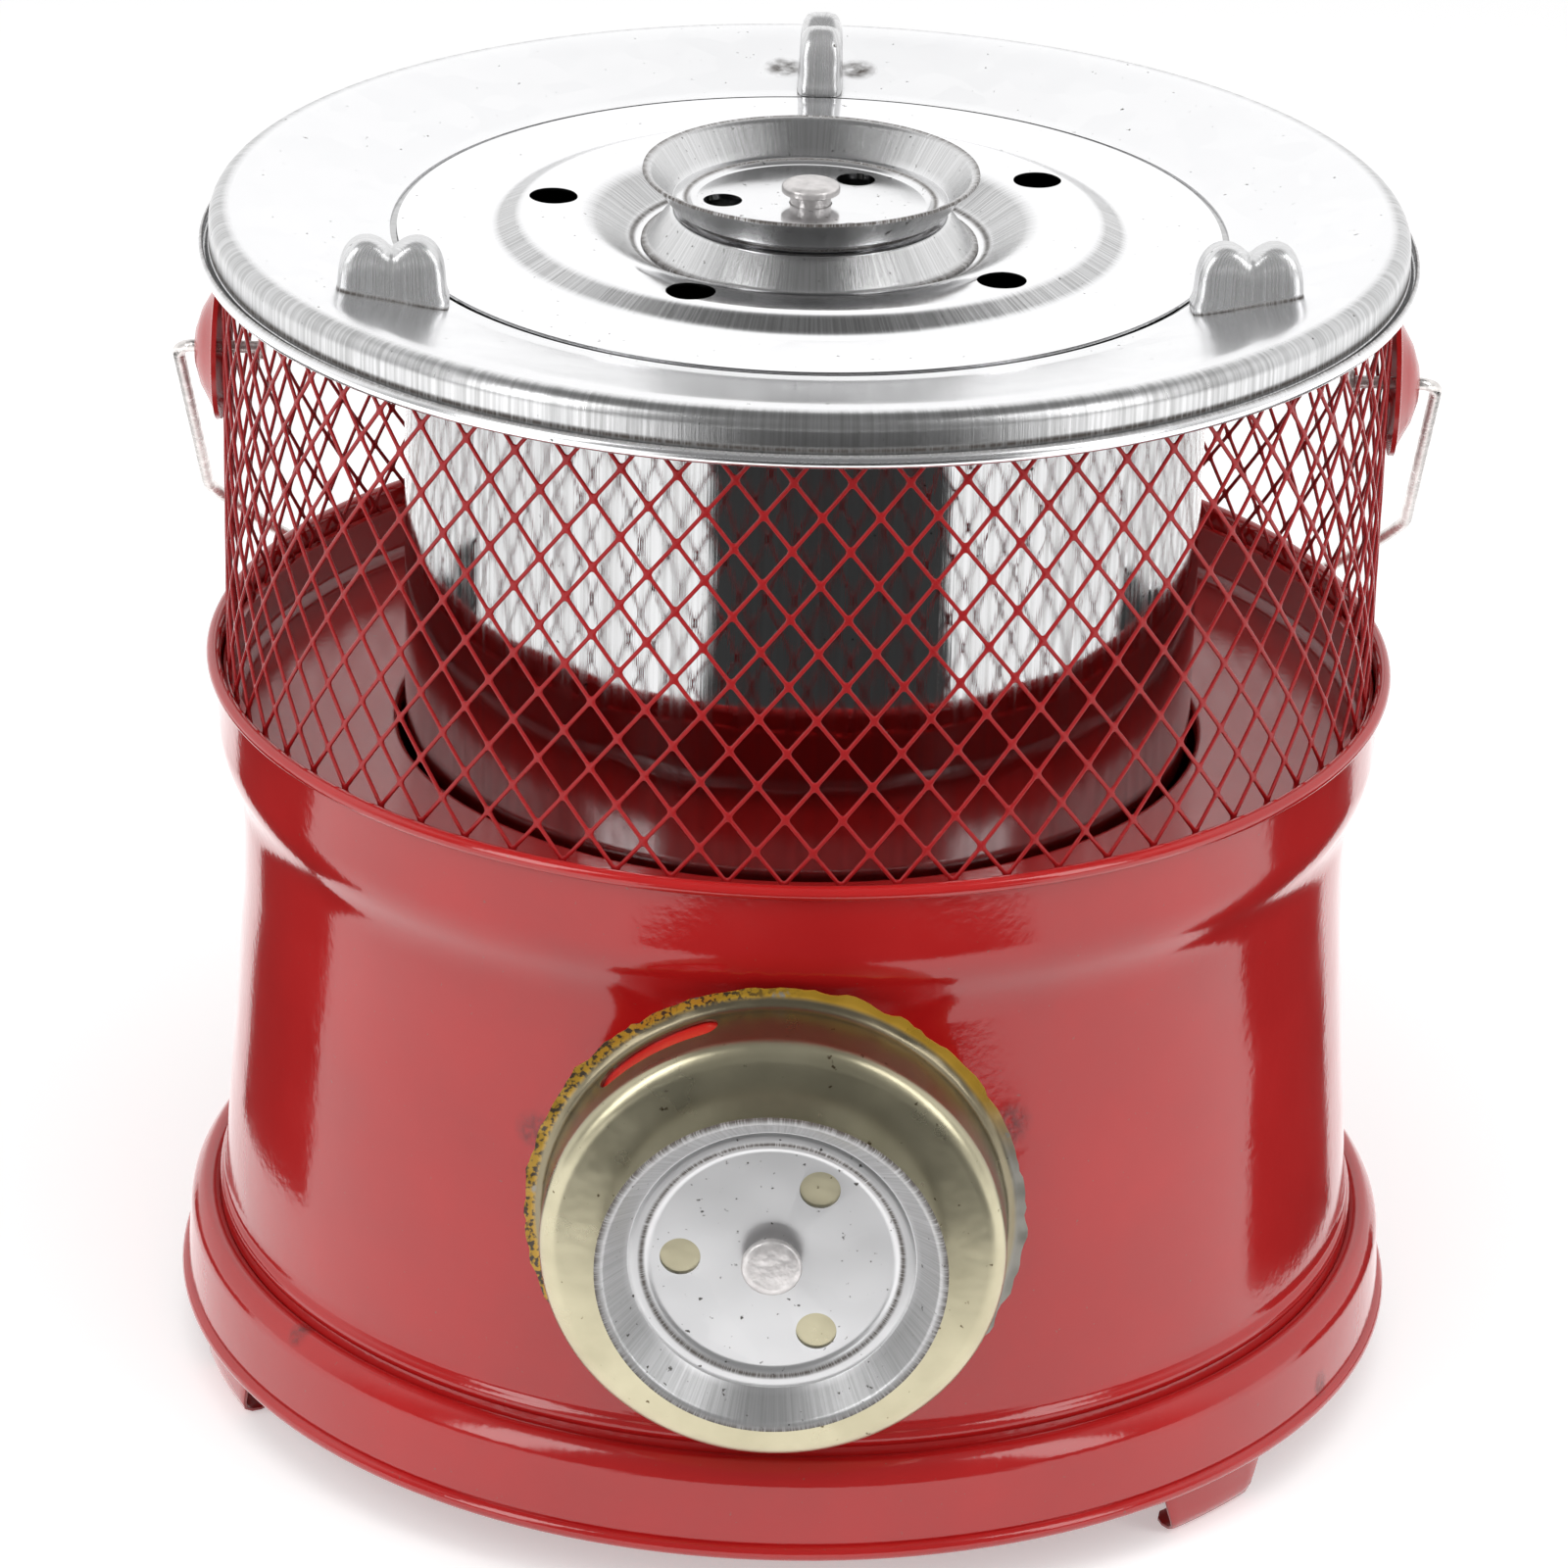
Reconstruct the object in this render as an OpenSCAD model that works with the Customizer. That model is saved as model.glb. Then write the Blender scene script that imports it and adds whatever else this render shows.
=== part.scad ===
/* [Base and body] */
// Height of the feet under the base rim
foot_h = 11; // [8:0.5:16]
// Height of the base pan from its rim to its floor
base_h = 19; // [15:0.5:26]
// Height of the body from the pan floor to the top of its lip
body_h = 128; // [115:1:150]
// How far the body spreads from its neck down to its foot
body_spread = 4; // [0:0.2:6]
// How far the base rim stands out past the foot of the body
rim_overhang = 10.8; // [9:0.2:13]
// Thickness of the enamelled sheet
red_sheet = 0.8; // [0.6:0.1:1]
// Height of the upright band under the lip
lip_band_h = 17; // [15:0.5:20]
// Radius of the rolled bead round the lip
lip_bead_r = 1.1; // [1:0.1:1.6]

/* [Feet] */
// Width of a foot at its top
foot_w = 30; // [20:0.5:36]
// Width of a foot at its sole
foot_sole_w = 17; // [10:0.5:20]
// Depth of the sole that is turned in under a foot
foot_sole_depth = 8; // [5:0.5:12]
// Direction of the back foot, counted from the right hand side
foot_turn = 80; // [60:1:110]
// Direction of the left foot
foot_left_turn = 203; // [185:1:220]
// Direction of the right foot
foot_right_turn = 316; // [305:1:335]

/* [Fire barrel] */
// Outside diameter of the fire barrel
barrel_d = 166; // [150:1:176]
// Thickness of the galvanized sheet
zinc_sheet = 0.6; // [0.5:0.1:0.8]
// Width of the flange on top of the barrel
barrel_flange_w = 5; // [4:0.5:7]
// How far the barrel reaches down through the tray
barrel_drop = 14; // [10:0.5:24]
// Height of the flared mouth of the barrel
barrel_mouth_h = 8; // [7:0.5:14]
// Depth of the beads that hold the grate
grate_bead = 2.2; // [1.6:0.1:3]
// Thickness of the grate
grate_t = 2; // [1.5:0.1:3]
// Diameter of a grate hole
grate_hole_d = 9; // [6:0.5:10]
// Distance between grate holes
grate_pitch = 16; // [13:0.5:20]

/* [Guard and tray] */
// Mean diameter of the mesh guard
guard_d = 240; // [232:1:256]
// Thickness of the mesh
guard_sheet = 1.2; // [1:0.1:1.6]
// Cells round the guard
guard_cells = 68; // [56:4:76]
// Height of one mesh cell
cell_h = 14; // [11:0.5:18]
// Width of a mesh strand
strand_w = 1.5; // [1.2:0.1:2]
// Depth of the tray floor under the lip
tray_drop = 17; // [14:0.5:18]
// Gap round the barrel where it passes through the tray
tray_gap = 1.5; // [1:0.1:3]

/* [Top cover] */
// Height from the body lip to the top of the cover
cover_rise = 97; // [88:1:120]
// Height of the cover skirt
skirt_h = 10; // [8:0.5:13]
// Radius of the rounded shoulder of the cover
cover_round = 3; // [2:0.5:4]
// How far the inner edge of the cover lies below its top
cover_dip = 5.7; // [5:0.1:8]
// Radius of the bead along the skirt
skirt_bead_r = 1.2; // [0.9:0.1:1.5]
// Length of a pot lug
lug_l = 22.4; // [18:0.2:25]
// Width of a pot lug
lug_w = 10; // [8:0.5:13]
// Height of a pot lug
lug_h = 12.5; // [10:0.5:15]
// Radius of the two lobes on a pot lug
lug_lobe_r = 6; // [5:0.1:7]
// Sheet thickness of a pot lug
lug_sheet = 1; // [0.8:0.1:1.4]
// Reach of a welded tab beside a pot lug
lug_tab = 5; // [3:0.5:7]
// Direction of the back lug, counted from the right hand side
lug_turn = 90; // [80:1:100]
// Direction of the left lug
lug_left_turn = 213; // [200:1:220]
// Direction of the right lug
lug_right_turn = 335; // [320:1:340]
// How far the two front lugs are turned away from the middle
lug_skew = 30; // [0:1:45]

/* [Lid] */
// How far the lid overlaps the barrel
lid_overlap = 1.9; // [1.5:0.1:3]
// Gap round the lid in the cover
lid_gap = 1.1; // [0.8:0.1:2]
// Diameter of the raised plateau of the lid
plateau_d = 121; // [116:1:130]
// Height of the plateau above the lid rim
plateau_h = 2.8; // [2:0.1:4]
// Depth of the knob recess below the lid rim
recess_depth = 3.4; // [2.5:0.1:5]
// Number of vent holes
vents = 5; // [3:1:6]
// Diameter of a vent hole
vent_d = 10; // [7:0.5:11]
// Direction of the first vent hole
vent_turn = 29; // [0:1:72]

/* [Pressed dishes] */
// Diameter of a dish at its rim
dish_d = 69; // [60:1:74]
// Diameter of the flat floor of a dish
dish_floor_d = 52; // [46:1:56]
// Height of a dish
dish_h = 8; // [6:0.5:10]
// Diameter of the three holes in a dish
dish_hole_d = 8; // [5:0.5:9]
// Radius on which the dish holes lie
dish_hole_r = 18; // [14:0.5:19]
// Diameter of a rivet head
rivet_head_d = 12; // [10:0.5:14]
// Diameter of a rivet shank
rivet_d = 8.4; // [6:0.2:9]
// How far a rivet stands above the floor of its dish
rivet_stand = 7; // [4:0.5:8]
// Thickness of a rivet head
rivet_head_t = 2.2; // [1.6:0.1:3]

/* [Damper] */
// Height of the damper axis above the pan floor
damper_rise = 56.5; // [56:0.5:62]
// Outside diameter of the air collar
collar_d = 90; // [80:1:92]
// How far the collar stops short of the inside of the cap
collar_short = 5.5; // [5:0.5:8]
// Depth of the damper cap from flange to face
cap_depth = 19.3; // [17:0.1:22]
// Thickness of the lacquered tinplate
tin_sheet = 0.5; // [0.4:0.05:0.8]
// Radial clearance of the cap on the collar
cap_clearance = 0.4; // [0.3:0.05:0.8]
// Radius of the rounded edge of the cap
cap_round = 2; // [1.5:0.5:4]
// Width of the flange round the cap
cap_flange_w = 4; // [3:0.2:5]
// Gap between the flange and the front of the body
cap_stand_off = 4.3; // [4:0.1:6]
// Angle that the air slot spans
slot_span = 34; // [20:1:50]
// Width of the air slot
slot_w = 6.5; // [3.5:0.5:7]
// Direction of the air slot seen from the front
slot_turn = 122; // [90:1:150]

/* [Bail] */
// Diameter of the bail wire
wire_d = 2.6; // [2:0.1:3.2]
// Diameter of an ear
ear_d = 31; // [24:0.5:34]
// Height of the dome of an ear
ear_dome = 6; // [5:0.5:8]
// Distance from the lip up to the bail axis
ear_rise = 61.5; // [50:0.5:66]
// Gap between an ear and the arm of the bail
arm_gap = 2.4; // [2:0.2:6]
// Reach of the bail from its axis
bail_reach = 165; // [155:1:180]
// How much wider than the arms the hoop of the bail is rounded
hoop_spread = 9.4; // [6:0.2:20]
// Radius of the bail corners
bail_corner_r = 14; // [10:1:25]
// Radius of the bend beside an ear
bail_bend_r = 4; // [3:0.5:5]
// How far a wire end reaches inside the mesh
wire_tail = 6; // [4:0.5:9]

/* [Hidden] */
$fn = 96;

// clearances shared by the fits
seat_gap = 0.1;
rest_gap = 0.25;
pin_gap = 0.3;
rivet_gap = 0.1;
// margin by which a cut runs past what it cuts
past = 1;

// points of a round stretch and of a sheet of even thickness along a line of points
function arc(c, r, from, to, n = 6) = [
  for (i = [0 : n]) let (a = from + (to - from) * i / n) c + r * [cos(a), sin(a)]
];
function unit(v) = v / norm(v);
function left_of(v) = [-v.y, v.x];
function side(p, i) = left_of(unit(p[i + 1] - p[i]));
function miter(p, i) = let (
    n = len(p),
    a = side(p, max(i - 1, 0)),
    b = side(p, min(i, n - 2)),
    m = unit(a + b)
  ) m / (m * b);
function sheet(p, t) = concat(
  [for (i = [0 : len(p) - 1]) p[i] + miter(p, i) * t / 2],
  [for (i = [len(p) - 1 : -1 : 0]) p[i] - miter(p, i) * t / 2]
);
function between(z, a, b) = a.x + (b.x - a.x) * (z - a.y) / (b.y - a.y);
module spun(points, t) rotate_extrude() polygon(sheet(points, t));

// levels
base_z = foot_h + base_h;
lip_z = base_z + body_h;
tray_z = lip_z - tray_drop;
cover_z = lip_z + cover_rise - zinc_sheet / 2;
damper_z = base_z + damper_rise;
bail_z = lip_z + ear_rise;

// radii of the body, all from the guard that stands in it
guard_r = guard_d / 2;
guard_out_r = guard_r + guard_sheet / 2;
lip_space = 1;
lip_r = guard_out_r + lip_space + red_sheet / 2 + lip_bead_r;
lip_root = [lip_r - lip_bead_r, lip_z - lip_bead_r - red_sheet / 2];
neck_inset = 3.1;
neck_r = guard_r - neck_inset;
lip_band_lean = 0.3;
lip_band = [lip_root.x - lip_band_lean, lip_z - lip_band_h];
crease_h = 16;
crease_n = 8;
crease = [
  for (i = [crease_n : -1 : 0]) let (share = (1 - cos(180 * i / crease_n)) / 2)
    [lip_band.x + (neck_r - lip_band.x) * share, lip_band.y - crease_h * i / crease_n]
];
waist_share = 0.6;
waist_bow = 0.3;
waist = [neck_r - waist_bow, base_z + waist_share * body_h];
wall_foot_h = 16;
wall_foot = [neck_r + body_spread, base_z + wall_foot_h];
foot_bead_out = 0.2;
foot_bead_h = 4.2;
foot_bead_r = 1.7;
foot_bead = [wall_foot.x + foot_bead_out, base_z + foot_bead_h];
foot_bead_lead = 0.3;
foot_bead_top = foot_bead + [foot_bead_lead, 2 * foot_bead_r];
wall_line = concat(
  [[foot_bead.x + foot_bead_r, base_z + red_sheet]],
  arc(foot_bead, foot_bead_r, -50, 50),
  [foot_bead_top, wall_foot, waist], crease,
  arc([lip_r, lip_root.y], lip_bead_r, 180, -80, 10)
);

// base pan
rim_r = wall_foot.x + rim_overhang;
band_inset = [3.6, 1.8];
band_drop = 2.2;
band_foot_h = 4;
band_top = [rim_r - band_inset[0], base_z - band_drop];
band_low = [rim_r - band_inset[1], foot_h + band_foot_h];
ridge_r = 2.2;
ridge_lead = 0.6;
ridge_off = [4.6, -0.6];
ridge = [foot_bead.x, base_z] + ridge_off;
hem_r = 1.3;
hem = [rim_r - hem_r - red_sheet / 2, foot_h + hem_r + red_sheet / 2];
pan_line = concat(
  [[0, base_z], [ridge.x - ridge_r - ridge_lead, base_z]],
  arc(ridge, ridge_r, 150, 20),
  [band_top, band_low],
  arc(hem, hem_r, 110, -60, 8)
);

// feet
foot_off = red_sheet + seat_gap;
foot_inset = 3;
foot_top_z = band_top.y - foot_inset;
foot_bend_z = band_low.y + foot_inset;
foot_bend_r = between(foot_bend_z, band_top, band_low) - foot_off;
foot_lean = 0.8;
foot_line = [
  [between(foot_top_z, band_top, band_low) - foot_off, foot_top_z],
  [foot_bend_r, foot_bend_z],
  [foot_bend_r - foot_lean, red_sheet / 2],
  [foot_bend_r - foot_lean - foot_sole_depth, red_sheet / 2]
];

// panels of the guard, two cells wide; each runs a little past its folds, and every second one stands a
// hair higher, so that no two edges fall together
panels = guard_cells / 2;
panel_a = 360 / panels;
panel_lap = 0.5;
panel_lift = 0.06;
fold_x = guard_out_r * tan(panel_a / 2);
panel_edge = fold_x + panel_lap;
guard_corner_r = norm([guard_out_r, panel_edge]);

// tray, pressed into the band, with the guard standing on its turned-in rim
function tray_at(z) = between(z, lip_band, lip_root) - red_sheet - rest_gap;
tray_rim_drop = 4.5;
tray_rim_w = 2;
tray_rim = [tray_at(lip_z - tray_rim_drop), lip_z - tray_rim_drop];
guard_foot_z = tray_rim.y + red_sheet / 2 + seat_gap;
tray_hole_r = barrel_d / 2 + tray_gap + red_sheet / 2;
tray_collar_h = 4;
tray_bend = 2;
tray_line = [
  [tray_hole_r, tray_z - tray_collar_h], [tray_hole_r, tray_z],
  [tray_at(tray_z) - tray_bend, tray_z], [tray_at(tray_z + tray_bend), tray_z + tray_bend],
  tray_rim, tray_rim - [tray_rim_w, 0]
];

// top cover, carried by the guard and the barrel flange
skirt_space = 1.7;
skirt_r = guard_out_r + skirt_space + zinc_sheet / 2;
lid_r = barrel_d / 2 + lid_overlap;
cover_hole_r = lid_r + lid_gap;
barrel_r = (barrel_d - zinc_sheet) / 2;
ledge_z = cover_z - cover_dip;
flange_z = ledge_z - zinc_sheet;
ledge_spare = 1;
ledge_r = barrel_d / 2 + barrel_flange_w + ledge_spare;
shoulder = [skirt_r - cover_round, cover_z - cover_round];
crown_w = 3;
crown_drop = 0.5;
crown = [shoulder.x - 2 * crown_w, cover_z - crown_drop];
bead_z = lip_z + cover_rise - skirt_h + skirt_bead_r + zinc_sheet / 2;
cover_line = concat(
  [[cover_hole_r, ledge_z], [ledge_r, ledge_z], crown, [crown.x + crown_w, cover_z]],
  arc(shoulder, cover_round, 90, 0),
  arc([skirt_r + skirt_bead_r, bead_z], skirt_bead_r, 180, 430, 8)
);
shoulder_in_r = cover_round - zinc_sheet / 2;
shoulder_at_guard = sqrt(pow(shoulder_in_r, 2) - pow(guard_corner_r - shoulder.x, 2));
guard_top_z = shoulder.y + shoulder_at_guard - panel_lift - seat_gap;

// fire barrel and grate
mouth_z = flange_z - barrel_mouth_h;
barrel_low_z = tray_z - barrel_drop;
bead_low_z = barrel_low_z + zinc_sheet / 2 + grate_t + 2 * seat_gap + grate_bead + zinc_sheet / 2;
barrel_edge = 0.4;
mouth_out = 1.3;
mouth_bend = [0.4, 0.5];
mouth_top = [barrel_r + mouth_out, flange_z];
barrel_line = concat(
  [[barrel_r - 2 * grate_bead, barrel_low_z], [barrel_r - barrel_edge, barrel_low_z]],
  [[barrel_r, barrel_low_z + barrel_edge]],
  [[barrel_r, bead_low_z - grate_bead], [barrel_r - grate_bead, bead_low_z]],
  [[barrel_r, bead_low_z + grate_bead], [barrel_r, mouth_z]],
  [mouth_top - mouth_bend, mouth_top, [barrel_d / 2 + barrel_flange_w, flange_z]]
);
grate_r = barrel_d / 2 - zinc_sheet - 2 * pin_gap;
grate_z = barrel_low_z + zinc_sheet / 2 + seat_gap;

// lid
lid_z = flange_z + zinc_sheet + rest_gap;
plateau_z = lid_z + plateau_h;
recess_z = lid_z - recess_depth;
recess_gap = 1.4;
recess_r = dish_d / 2 + recess_gap;
recess_slope = 11.5;
lid_step = 6.5;
plateau_fall = 0.3;
plateau_in = [recess_r + recess_slope, plateau_z - plateau_fall];
plateau_edge = 1;
plateau_out = [plateau_d / 2 - plateau_edge, plateau_z];
lid_line = [
  [0, recess_z], [recess_r, recess_z], plateau_in, plateau_out,
  [plateau_d / 2 + lid_step, lid_z], [lid_r, lid_z]
];
vent_r = (plateau_in.x + plateau_out.x) / 2;

// pressed dish with its floor at height zero and its rim up
dish_step = [2, 0.9];
dish_rim_w = 1.2;
dish_rim = [dish_d / 2, dish_h - zinc_sheet];
dish_line = [
  [0, 0], [dish_floor_d / 2, 0], [dish_floor_d / 2, 0] + dish_step, dish_rim - [dish_rim_w, 0], dish_rim
];
knob_foot_z = recess_z + zinc_sheet / 2;
knob_mid_z = knob_foot_z + dish_h;

// damper
body_front = between(damper_z, waist, wall_foot) + red_sheet / 2;
collar_r = collar_d / 2;
collar_tail = 6;
collar_back = sqrt(pow(neck_r, 2) - pow(collar_r, 2)) - collar_tail;
cap_in_r = collar_r + cap_clearance;
cap_mid_r = cap_in_r + tin_sheet / 2;
flange_y = body_front + cap_stand_off;
face_y = flange_y + cap_depth;
collar_front = face_y - tin_sheet - collar_short;
flange_rise = 2.4;
cap_line = concat(
  [[0, cap_depth - tin_sheet / 2]],
  arc([cap_mid_r - cap_round, cap_depth - tin_sheet / 2 - cap_round], cap_round, 90, 0, 8),
  [[cap_mid_r, flange_rise], [cap_mid_r + cap_flange_w, tin_sheet / 2]]
);
slot_y = 3.4;
slot_bite = 3;
slot_quarter = 90;

// ears and bail
ear_x = guard_out_r + rest_gap;
ear_sheet = 1;
ear_brim = 1.5;
ear_rim = 2;
ear_tip_x = ear_x + ear_dome;
dome_r = (pow(ear_d / 2 - ear_brim, 2) + pow(ear_dome, 2)) / (2 * ear_dome);
wire_r = wire_d / 2;
arm_x = ear_tip_x + arm_gap + wire_r;
bail_grip_r = arm_x + hoop_spread;
grip_c = bail_reach - bail_grip_r;
corner_a = acos((arm_x - bail_corner_r) / (bail_grip_r - bail_corner_r));
corner = [0, grip_c] + (bail_grip_r - bail_corner_r) * [cos(corner_a), sin(corner_a)];
grip_end = [0, grip_c] + bail_grip_r * [cos(corner_a), sin(corner_a)];
bail_rest_a = acos((neck_r + red_sheet / 2 + wire_r + rest_gap) / bail_reach);
tail_x = guard_r - guard_sheet / 2 - wire_tail;
tail_head_t = 1.2;

red = [0.72, 0.12, 0.12];
zinc = [0.78, 0.79, 0.8];
tin_gold = [0.72, 0.68, 0.5];
steel = [0.4, 0.4, 0.41];

// turns a shape that is built round the vertical axis to face the front, at the damper
module at_damper(y) translate([0, -y, damper_z]) rotate([90, 0, 0]) children();

// sector of a ring seen along the damper axis, used to cut an air slot
module slot_cut(turn, from_y, width, r) at_damper(from_y) intersection() {
  difference() {
    cylinder(h = width, r = r + slot_bite);
    translate([0, 0, -past]) cylinder(h = width + 2 * past, r = r - slot_bite);
  }
  rotate([0, 0, turn]) linear_extrude(width) polygon([
    [0, 0], [2 * r, -2 * r * tan(slot_span / 2)], [2 * r, 2 * r * tan(slot_span / 2)]
  ]);
}

module base_pan() color(red) spun(pan_line, red_sheet);

module body_wall() color(red) difference() {
  spun(wall_line, red_sheet);
  at_damper(0) cylinder(h = guard_d, r = collar_r + seat_gap);
}

module foot(turn) color(red) rotate([0, 0, turn]) intersection() {
  rotate([0, 0, -30]) rotate_extrude(angle = 60) polygon(sheet(foot_line, red_sheet));
  rotate([90, 0, 90]) linear_extrude(guard_d) polygon([
    [-foot_sole_w / 2, 0], [foot_sole_w / 2, 0], [foot_w / 2, foot_h], [foot_w / 2, base_z],
    [-foot_w / 2, base_z], [-foot_w / 2, foot_h]
  ]);
}
module foot_back() foot(foot_turn);
module foot_left() foot(foot_left_turn);
module foot_right() foot(foot_right_turn);

module tray() color(red) spun(tray_line, red_sheet);

// short tube through the body front, with two curved tabs welded to the inside of the body
tab_rise = 4;
tab_size = 14;
tab_low = damper_z + tab_rise;
tab_high = tab_low + tab_size;
tab_reach = collar_r + tab_size;
function inside_wall(z, n) = [between(z, waist, wall_foot) - red_sheet / 2 - seat_gap - n * red_sheet, z];
module air_collar() color(red) union() {
  difference() {
    at_damper(collar_back) cylinder(h = collar_front - collar_back, r = collar_r);
    at_damper(collar_back - past)
      cylinder(h = collar_front - collar_back + 2 * past, r = collar_r - red_sheet);
    slot_cut(slot_turn - slot_quarter, flange_y + slot_y, slot_w, collar_r);
  }
  difference() {
    intersection() {
      rotate_extrude() polygon([
        inside_wall(tab_low, 1), inside_wall(tab_low, 0), inside_wall(tab_high, 0), inside_wall(tab_high, 1)
      ]);
      translate([-tab_reach, -guard_d, 0]) cube([2 * tab_reach, guard_d, lip_z]);
    }
    at_damper(0) cylinder(h = guard_d, r = collar_r - red_sheet / 2);
  }
}

module fire_barrel() color(zinc) spun(barrel_line, zinc_sheet);

grate_rows = 8;
grate_edge = 2;
module fire_grate() color(steel) translate([0, 0, grate_z]) difference() {
  cylinder(h = grate_t, r = grate_r);
  for (i = [-grate_rows : grate_rows], j = [-grate_rows : grate_rows]) {
    spot = grate_pitch * [i + j / 2, j * sqrt(3) / 2];
    if (norm(spot) + grate_hole_d / 2 + grate_edge < grate_r - 2 * grate_bead)
      translate([spot.x, spot.y, -past]) cylinder(h = grate_t + 2 * past, d = grate_hole_d, $fn = 24);
  }
}

// expanded mesh, folded from the flat panels
strand_share = [0.6, 0.75];
cell_half = [fold_x / 2 - strand_w * strand_share.x, cell_h / 2 - strand_w * strand_share.y];
mouth = cell_half.y * (1 + panel_lap / cell_half.x);
edge_band = 1;
row_first = ceil((guard_foot_z + cell_half.y + edge_band - bail_z) / cell_h);
row_last = floor((guard_top_z - cell_half.y - edge_band - bail_z) / cell_h);
rows = [for (k = [row_first : row_last]) bail_z + k * cell_h];
rows_between = [for (z = rows) if (z + cell_h / 2 + cell_half.y + edge_band < guard_top_z) z + cell_h / 2];
function notch(z) = [[panel_edge, z - mouth], [fold_x - cell_half.x, z], [panel_edge, z + mouth]];
panel_right = [[panel_edge, guard_foot_z], for (z = rows) each notch(z), [panel_edge, guard_top_z]];
panel_outline = concat(
  panel_right,
  [for (i = [len(panel_right) - 1 : -1 : 0]) [-panel_right[i].x, panel_right[i].y]]
);
function cell(x, z) = [
  [x + cell_half.x, z], [x, z + cell_half.y], [x - cell_half.x, z], [x, z - cell_half.y]
];
panel_cells = concat(
  [for (z = rows) cell(0, z)],
  [for (x = [-1, 1] * fold_x / 2, z = rows_between) cell(x, z)]
);
module mesh_panel() polygon(
  concat(panel_outline, [for (c = panel_cells) each c]),
  concat(
    [[for (i = [0 : len(panel_outline) - 1]) i]],
    [for (j = [0 : len(panel_cells) - 1]) [for (i = [0 : 3]) len(panel_outline) + 4 * j + i]]
  )
);
module mesh_guard() color(red) for (p = [0 : panels - 1]) rotate([0, 0, p * panel_a])
  translate([guard_out_r - guard_sheet, 0, p % 2 * panel_lift])
    rotate([90, 0, 90]) linear_extrude(guard_sheet) mesh_panel();

module top_cover() color(zinc) spun(cover_line, zinc_sheet);

// hollow saddle with two lobes on top, cut to lie on the cover, with a welded tab on either side
lug_mid_r = cover_hole_r + lug_l / 2;
lug_root = lug_h / 2;
lug_seat = zinc_sheet / 2 + seat_gap;
lug_base_z = between(lug_mid_r, [ledge_z, ledge_r], [crown.y, crown.x]) + lug_seat;
function on_cover(h) = [[cover_hole_r, ledge_z + h], [ledge_r, ledge_z + h], crown + [0, h]];
module lobes(inset) {
  r = lug_lobe_r - inset;
  for (x = [-1, 1] * (lug_l / 2 - lug_lobe_r)) translate([x, lug_h - lug_lobe_r]) circle(r);
  translate([inset - lug_l / 2, -lug_root]) square([lug_l - 2 * inset, lug_root + lug_h - lug_lobe_r]);
  translate([lug_lobe_r - lug_l / 2, 0]) square([lug_l - 2 * lug_lobe_r, lug_h - lug_lobe_r + r / 2]);
}
module lug_plan(inset) {
  for (x = [-1, 1] * (lug_l - lug_w) / 2) translate([x, 0]) circle(lug_w / 2 - inset);
  square([lug_l - lug_w, lug_w - 2 * inset], center = true);
}
module lug_block(inset) intersection() {
  rotate([90, 0, 0]) linear_extrude(lug_w, center = true) lobes(inset);
  translate([0, 0, -lug_root]) linear_extrude(lug_root + lug_h) lug_plan(inset);
}
module at_lug(turn, skew) rotate([0, 0, turn]) translate([lug_mid_r, 0, lug_base_z])
  rotate([0, 0, skew]) children();
module pot_lug(turn, skew) color(zinc) difference() {
  union() {
    at_lug(turn, skew) lug_block(0);
    intersection() {
      rotate_extrude() polygon(concat(on_cover(lug_seat), [crown + [0, lug_seat + lug_sheet]],
        [[ledge_r, ledge_z + lug_seat + lug_sheet], [cover_hole_r, ledge_z + lug_seat + lug_sheet]]));
      at_lug(turn, skew) translate([-lug_l / 4, -lug_w / 2 - lug_tab, -lug_root])
        cube([lug_l / 2, lug_w + 2 * lug_tab, lug_h]);
    }
  }
  at_lug(turn, skew) lug_block(lug_sheet);
  rotate_extrude()
    polygon(concat([[0, lip_z], [0, ledge_z + lug_seat]], on_cover(lug_seat), [[crown.x, lip_z]]));
}
module pot_lug_back() pot_lug(lug_turn, 0);
module pot_lug_left() pot_lug(lug_left_turn, -lug_skew);
module pot_lug_right() pot_lug(lug_right_turn, lug_skew);

// domed disc beside the guard, bored for the wire
module ear(turn) color(red) rotate([0, 0, turn]) translate([ear_x, 0, bail_z])
  rotate([0, 90, 0]) difference() {
    union() {
      cylinder(h = ear_sheet, d = ear_d);
      intersection() {
        translate([0, 0, ear_dome - dome_r]) sphere(dome_r);
        cylinder(h = ear_dome, d = ear_d);
      }
    }
    intersection() {
      translate([0, 0, ear_dome - dome_r]) sphere(dome_r - ear_sheet);
      translate([0, 0, -past]) cylinder(h = ear_dome + past, d = ear_d - 2 * ear_rim);
    }
    cylinder(h = ear_dome + past, r = wire_r + pin_gap);
  }
module ear_left() ear(180);
module ear_right() ear(0);

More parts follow.
